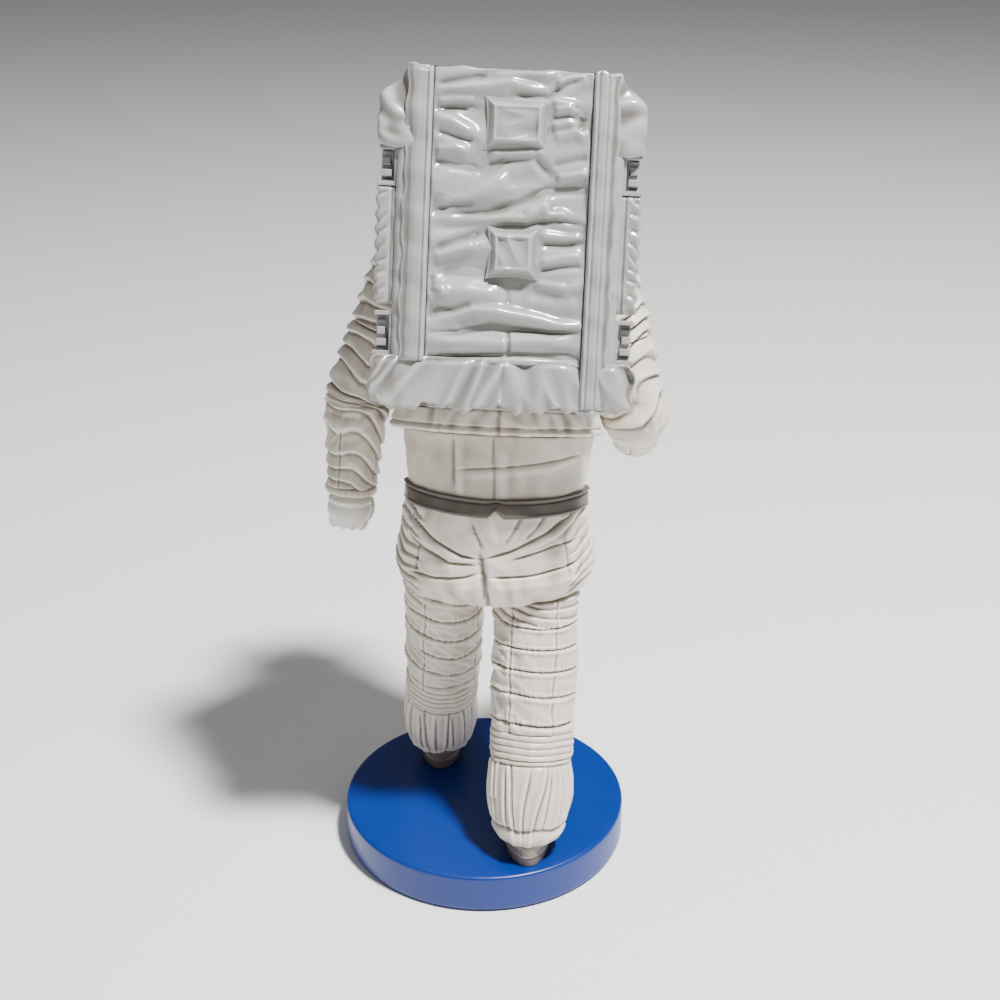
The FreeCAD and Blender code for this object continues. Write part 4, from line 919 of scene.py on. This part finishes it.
def skirtWander(x, z):
    ragged = 0.75 * np.sin(x * 0.42 + 1.0) + 0.45 * np.sin(x * 1.03 + 2.0) + 0.3 * np.sin(x * 2.1)
    return 0.5 * np.sin(z * 0.8) * smooth(np.abs(x), 28, 31), ragged * smooth(27 - z, 0, 5)


packSkirt = slab(
    "packSkirt", trunk, (-skirt["half"], skirt["low"]), (skirt["half"], skirt["top"]), skirt["back"], skirt["front"],
    skirtRelief, edge=1.0, corner=2.2, step=0.3, wander=skirtWander,
)
attach(packSkirt, "pack", "pack", "pack_skirt")
for side, sign in signs.items():
    low, high = sorted((sign * 26.6, sign * 31.6))
    wing = slab(
        f"skirtWing_{side}", trunk, (low, 21.6), (high, 31.5), 22.4, 32.4,
        lambda x, z, points: 0.3 * crumple(points, 6, 491), edge=0.9, corner=1.5, step=0.35,
    )
    attach(wing, "pack", "pack")
print("pack done")


# gloves: balls and fingers melted together
def ball(name, place, centre, size, tilt=0):
    bpy.ops.object.select_all(action="DESELECT")
    bpy.ops.mesh.primitive_uv_sphere_add(segments=40, ring_count=24, radius=1)
    thing = bpy.context.object
    thing.name = name
    mesh = thing.data
    places = np.empty(len(mesh.vertices) * 3, np.float32)
    mesh.vertices.foreach_get("co", places)
    places = places.reshape(-1, 3) * np.array(size)
    spun = np.c_[places, np.ones(len(places))] @ (place @ shift(*centre) @ turn("x", tilt)).T
    mesh.vertices.foreach_set("co", (spun[:, :3] * 0.001).astype(np.float32).ravel())
    mesh.update()
    return thing


glove = {"voxel": 0.00033, "start": 26.3}
for side, sign in signs.items():
    place = elbows[side](1) @ shift(0, 0, glove["start"])
    parts = [ball("palm", place, (0, 0, 4.4), (6.0, 4.9, 5.2)), ball("wrist", place, (0, 0, 1.8), (5.9, 5.6, 2.0))]
    for k in range(4):
        across = (k - 1.5) * 2.5
        reach = 8.2 - 0.35 * abs(k - 1.3)
        parts.append(ball(f"finger{k}", place, (across, 0.9, reach), (1.65, 2.3, 3.0), 20))
        parts.append(ball(f"tip{k}", place, (across, 3.2, reach - 0.4), (1.55, 1.9, 2.3), 60))
    parts.append(ball("thumb", place, (-sign * 4.9, 2.8, 4.8), (1.8, 2.0, 3.6), 18))
    bpy.ops.object.select_all(action="DESELECT")
    for part in parts:
        part.select_set(True)
    bpy.context.view_layer.objects.active = parts[0]
    bpy.ops.object.join()
    hand = bpy.context.object
    hand.name = f"gloveSkin_{side}"
    hand.data.name = hand.name
    melt = hand.modifiers.new("melt", "REMESH")
    melt.mode = "VOXEL"
    melt.voxel_size = glove["voxel"]
    melt.use_smooth_shade = True
    bpy.ops.object.modifier_apply(modifier="melt")
    ease = hand.modifiers.new("ease", "SMOOTH")
    ease.factor = 0.5
    ease.iterations = 6
    bpy.ops.object.modifier_apply(modifier="ease")
    bpy.ops.object.shade_smooth()
    attach(hand, f"hand_{side}", "glove", f"glove_{side}")
print("gloves done")


# materials
def nodeOf(tree, kind, **values):
    node = tree.nodes.new(kind)
    for key, value in values.items():
        setattr(node, key, value)
    return node


def shapeOf(tree, detail, scale, rough=0.5):
    noise = nodeOf(tree, "ShaderNodeTexNoise")
    noise.inputs["Scale"].default_value = scale
    noise.inputs["Detail"].default_value = detail
    noise.inputs["Roughness"].default_value = rough
    return noise


def makeShadeAndHighlight():
    # mixes a painted shade colour into the hollows and a painted highlight colour onto the crests
    group = bpy.data.node_groups.new("hollowShadeCrestHighlight", "ShaderNodeTree")
    face = group.interface
    for name in ("Paint", "PaintedShade", "PaintedHighlight"):
        face.new_socket(name, in_out="INPUT", socket_type="NodeSocketColor")
    for name in ("ShadeAmount", "HighlightAmount"):
        face.new_socket(name, in_out="INPUT", socket_type="NodeSocketFloat")
    face.new_socket("Color", in_out="OUTPUT", socket_type="NodeSocketColor")
    face.new_socket("Hollow", in_out="OUTPUT", socket_type="NodeSocketFloat")
    entry = group.nodes.new("NodeGroupInput")
    leave = group.nodes.new("NodeGroupOutput")
    depth = nodeOf(group, "ShaderNodeAttribute", attribute_name="crease")
    hollow = nodeOf(group, "ShaderNodeMath", operation="MULTIPLY", use_clamp=True)
    paintedHighlight = nodeOf(group, "ShaderNodeMath", operation="MULTIPLY", use_clamp=True)
    flip = nodeOf(group, "ShaderNodeMath", operation="MULTIPLY")
    flip.inputs[1].default_value = -1
    group.links.new(depth.outputs["Fac"], hollow.inputs[0])
    group.links.new(entry.outputs["ShadeAmount"], hollow.inputs[1])
    group.links.new(depth.outputs["Fac"], flip.inputs[0])
    group.links.new(flip.outputs[0], paintedHighlight.inputs[0])
    group.links.new(entry.outputs["HighlightAmount"], paintedHighlight.inputs[1])
    darker = nodeOf(group, "ShaderNodeMix", data_type="RGBA")
    lighter = nodeOf(group, "ShaderNodeMix", data_type="RGBA")
    group.links.new(hollow.outputs[0], darker.inputs["Factor"])
    group.links.new(entry.outputs["Paint"], darker.inputs[6])
    group.links.new(entry.outputs["PaintedShade"], darker.inputs[7])
    group.links.new(paintedHighlight.outputs[0], lighter.inputs["Factor"])
    group.links.new(darker.outputs[2], lighter.inputs[6])
    group.links.new(entry.outputs["PaintedHighlight"], lighter.inputs[7])
    group.links.new(lighter.outputs[2], leave.inputs["Color"])
    group.links.new(hollow.outputs[0], leave.inputs["Hollow"])
    return group


shadeHighlightGroup = makeShadeAndHighlight()
# each paint's second colour is painted shade laid into the hollows, its third a painted highlight laid onto the crests
paints = {
    "suit": {"paint": (0.70, 0.63, 0.53), "paintedShade": (0.27, 0.22, 0.175), "paintedHighlight": (0.86, 0.83, 0.76), "rough": 0.42, "coat": 0.15, "grain": 0.10},
    "glove": {"paint": (0.74, 0.70, 0.64), "paintedShade": (0.34, 0.30, 0.25), "paintedHighlight": (0.82, 0.79, 0.74), "rough": 0.42, "coat": 0.15, "grain": 0.10},
    "belt": {"paint": (0.11, 0.09, 0.075), "paintedShade": (0.06, 0.05, 0.04), "paintedHighlight": (0.19, 0.16, 0.135), "rough": 0.42, "coat": 0.1, "grain": 0.10},
    "boot": {"paint": (0.20, 0.165, 0.14), "paintedShade": (0.10, 0.09, 0.08), "paintedHighlight": (0.36, 0.33, 0.30), "rough": 0.32, "coat": 0.3, "grain": 0.08},
    "sole": {"paint": (0.17, 0.14, 0.12), "paintedShade": (0.07, 0.06, 0.06), "paintedHighlight": (0.22, 0.20, 0.19), "rough": 0.4, "coat": 0.2, "grain": 0.10},
    "base": {"paint": (0.0005, 0.024, 0.20), "paintedShade": (0.0005, 0.024, 0.2), "paintedHighlight": (0.0005, 0.024, 0.20), "rough": 0.32, "coat": 0.0, "grain": 0.02},
    "felt": {"paint": (0.03, 0.03, 0.035), "paintedShade": (0.02, 0.02, 0.02), "paintedHighlight": (0.04, 0.04, 0.04), "rough": 0.95, "coat": 0, "grain": 0.6},
    "steel": {"paint": (0.55, 0.55, 0.56), "paintedShade": (0.3, 0.3, 0.3), "paintedHighlight": (0.6, 0.6, 0.6), "rough": 0.32, "coat": 0, "grain": 0.03, "metal": 1},
    "helmet": {"paint": (0.78, 0.76, 0.73), "paintedShade": (0.5, 0.48, 0.45), "paintedHighlight": (0.82, 0.80, 0.78), "rough": 0.25, "coat": 0.5, "grain": 0.03},
    "visor_gold": {"paint": (0.86, 0.58, 0.20), "paintedShade": (0.5, 0.3, 0.1), "paintedHighlight": (0.9, 0.6, 0.2), "rough": 0.08, "coat": 0.3, "grain": 0.01, "metal": 1},
    "bubble": {"paint": (0.012, 0.012, 0.016), "paintedShade": (0.01, 0.01, 0.01), "paintedHighlight": (0.02, 0.02, 0.02), "rough": 0.08, "coat": 0.8, "grain": 0.01},
    "lens": {"paint": (0.62, 0.66, 0.70), "paintedShade": (0.4, 0.4, 0.4), "paintedHighlight": (0.7, 0.7, 0.7), "rough": 0.1, "coat": 0.6, "grain": 0.01},
    "controls": {"paint": (0.60, 0.61, 0.62), "paintedShade": (0.25, 0.25, 0.25), "paintedHighlight": (0.7, 0.7, 0.7), "rough": 0.3, "coat": 0.4, "grain": 0.04},
    # the pack takes a smaller share of painted shade in its hollows
    "pack": {"paint": (0.34, 0.33, 0.315), "paintedShade": (0.11, 0.10, 0.09), "paintedHighlight": (0.48, 0.47, 0.45), "rough": 0.23, "coat": 0.6, "grain": 0.06, "paintedShadeAmount": 0.7},
    "vent": {"paint": (0.33, 0.335, 0.34), "paintedShade": (0.12, 0.12, 0.12), "paintedHighlight": (0.45, 0.45, 0.46), "rough": 0.35, "coat": 0.3, "grain": 0.05},
}


def makePaint(name, facts):
    material = bpy.data.materials.new(f"{name}Paint")
    material.use_nodes = True
    tree = material.node_tree
    shader = tree.nodes["Principled BSDF"]
    place = nodeOf(tree, "ShaderNodeTexCoord")
    # this group node lays painted shade into hollows and a painted highlight onto crests, from the crease attribute
    paintedShade = nodeOf(tree, "ShaderNodeGroup", node_tree=shadeHighlightGroup)
    paintedShade.inputs["PaintedShade"].default_value = facts["paintedShade"] + (1,)
    paintedShade.inputs["PaintedHighlight"].default_value = facts["paintedHighlight"] + (1,)
    paintedShade.inputs["ShadeAmount"].default_value = facts.get("paintedShadeAmount", 1.0)
    paintedShade.inputs["HighlightAmount"].default_value = 0.6
    cloud = shapeOf(tree, 4, 90)
    tint = nodeOf(tree, "ShaderNodeMix", data_type="RGBA")
    tint.inputs[6].default_value = tuple(c * 0.93 for c in facts["paint"]) + (1,)
    tint.inputs[7].default_value = tuple(min(c * 1.05, 1) for c in facts["paint"]) + (1,)
    tree.links.new(place.outputs["Object"], cloud.inputs["Vector"])
    tree.links.new(cloud.outputs["Fac"], tint.inputs["Factor"])
    tree.links.new(tint.outputs[2], paintedShade.inputs["Paint"])
    tree.links.new(paintedShade.outputs["Color"], shader.inputs["Base Color"])
    speck = shapeOf(tree, 3, 1100, 0.6)
    tree.links.new(place.outputs["Object"], speck.inputs["Vector"])
    rough = nodeOf(tree, "ShaderNodeMapRange")
    rough.inputs["To Min"].default_value = max(facts["rough"] - 0.07, 0.03)
    rough.inputs["To Max"].default_value = facts["rough"] + 0.09
    tree.links.new(cloud.outputs["Fac"], rough.inputs["Value"])
    tree.links.new(rough.outputs["Result"], shader.inputs["Roughness"])
    bump = nodeOf(tree, "ShaderNodeBump")
    bump.inputs["Strength"].default_value = facts["grain"]
    bump.inputs["Distance"].default_value = 0.0004
    tree.links.new(speck.outputs["Fac"], bump.inputs["Height"])
    tree.links.new(bump.outputs["Normal"], shader.inputs["Normal"])
    shader.inputs["Metallic"].default_value = facts.get("metal", 0)
    shader.inputs["Coat Weight"].default_value = facts["coat"]
    shader.inputs["Coat Roughness"].default_value = 0.12
    return material


materials = {name: makePaint(name, facts) for name, facts in paints.items()}
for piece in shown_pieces():
    slotName = piece.get("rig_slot")
    if slotName in materials and piece.type == "MESH":
        piece.data.materials.clear()
        piece.data.materials.append(materials[slotName])
carried = {
    "base_pad": "felt", "base_screw_left": "steel", "base_screw_right": "steel", "leg_rod_left": "steel",
    "leg_rod_right": "steel", "waist_post": "steel", "shoulder_peg_left": "steel", "shoulder_peg_right": "steel",
    "neck_peg": "steel", "helmet_shell": "helmet", "lamp_left": "helmet", "lamp_right": "helmet",
    "visor_pin_left": "helmet", "visor_pin_right": "helmet", "sun_visor": "visor_gold", "helmet_bubble": "bubble",
    "lamp_lens_left": "lens", "lamp_lens_right": "lens", "chest_module": "controls", "chest_dials": "controls",
}
for nodeName, slotName in carried.items():
    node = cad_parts[nodeName]
    node.data.materials.clear()
    node.data.materials.append(materials[slotName])
print("materials done")

# room: a pale floor that runs to a pale world, and soft lamps
bpy.ops.object.select_all(action="DESELECT")
bpy.ops.mesh.primitive_plane_add(size=8)
floor = bpy.context.object
floor.name = "floor"
pale = bpy.data.materials.new("paleFloor")
pale.use_nodes = True
pale.node_tree.nodes["Principled BSDF"].inputs["Base Color"].default_value = (0.9, 0.9, 0.9, 1)
pale.node_tree.nodes["Principled BSDF"].inputs["Roughness"].default_value = 0.6
floor.data.materials.append(pale)

room = bpy.context.scene.world or bpy.data.worlds.new("room")
bpy.context.scene.world = room
room.use_nodes = True
room.node_tree.nodes["Background"].inputs["Color"].default_value = (1, 1, 1, 1)
room.node_tree.nodes["Background"].inputs["Strength"].default_value = 0.15

lamps = {
    "key": {"at": (-0.36, 0.27, 1.12), "look": (0, 0, 0.1), "size": 0.12, "power": 36},
    "fill": {"at": (0.7, 0.6, 0.4), "look": (0, 0, 0.1), "size": 0.8, "power": 0.7},
    "top": {"at": (0.1, -0.2, 0.9), "look": (0, 0, 0.1), "size": 0.6, "power": 0.7},
}
for name, facts in lamps.items():
    bpy.ops.object.light_add(type="AREA", location=facts["at"])
    lamp = bpy.context.object
    lamp.name = name
    lamp.data.size = facts["size"]
    lamp.data.energy = facts["power"]
    way = np.array(facts["look"]) - np.array(facts["at"])
    way = way / np.linalg.norm(way)
    lamp.rotation_euler = (math.acos(-way[2]), 0, math.atan2(way[1], way[0]) - math.pi / 2)

bpy.ops.object.camera_add(location=(-0.0045, 0.3642, 0.2677), rotation=(math.radians(65.82), 0, math.radians(180)))
camera = bpy.context.object
camera.data.lens = 54
camera.data.sensor_width = 36
bpy.context.scene.camera = camera
print("room and camera done")
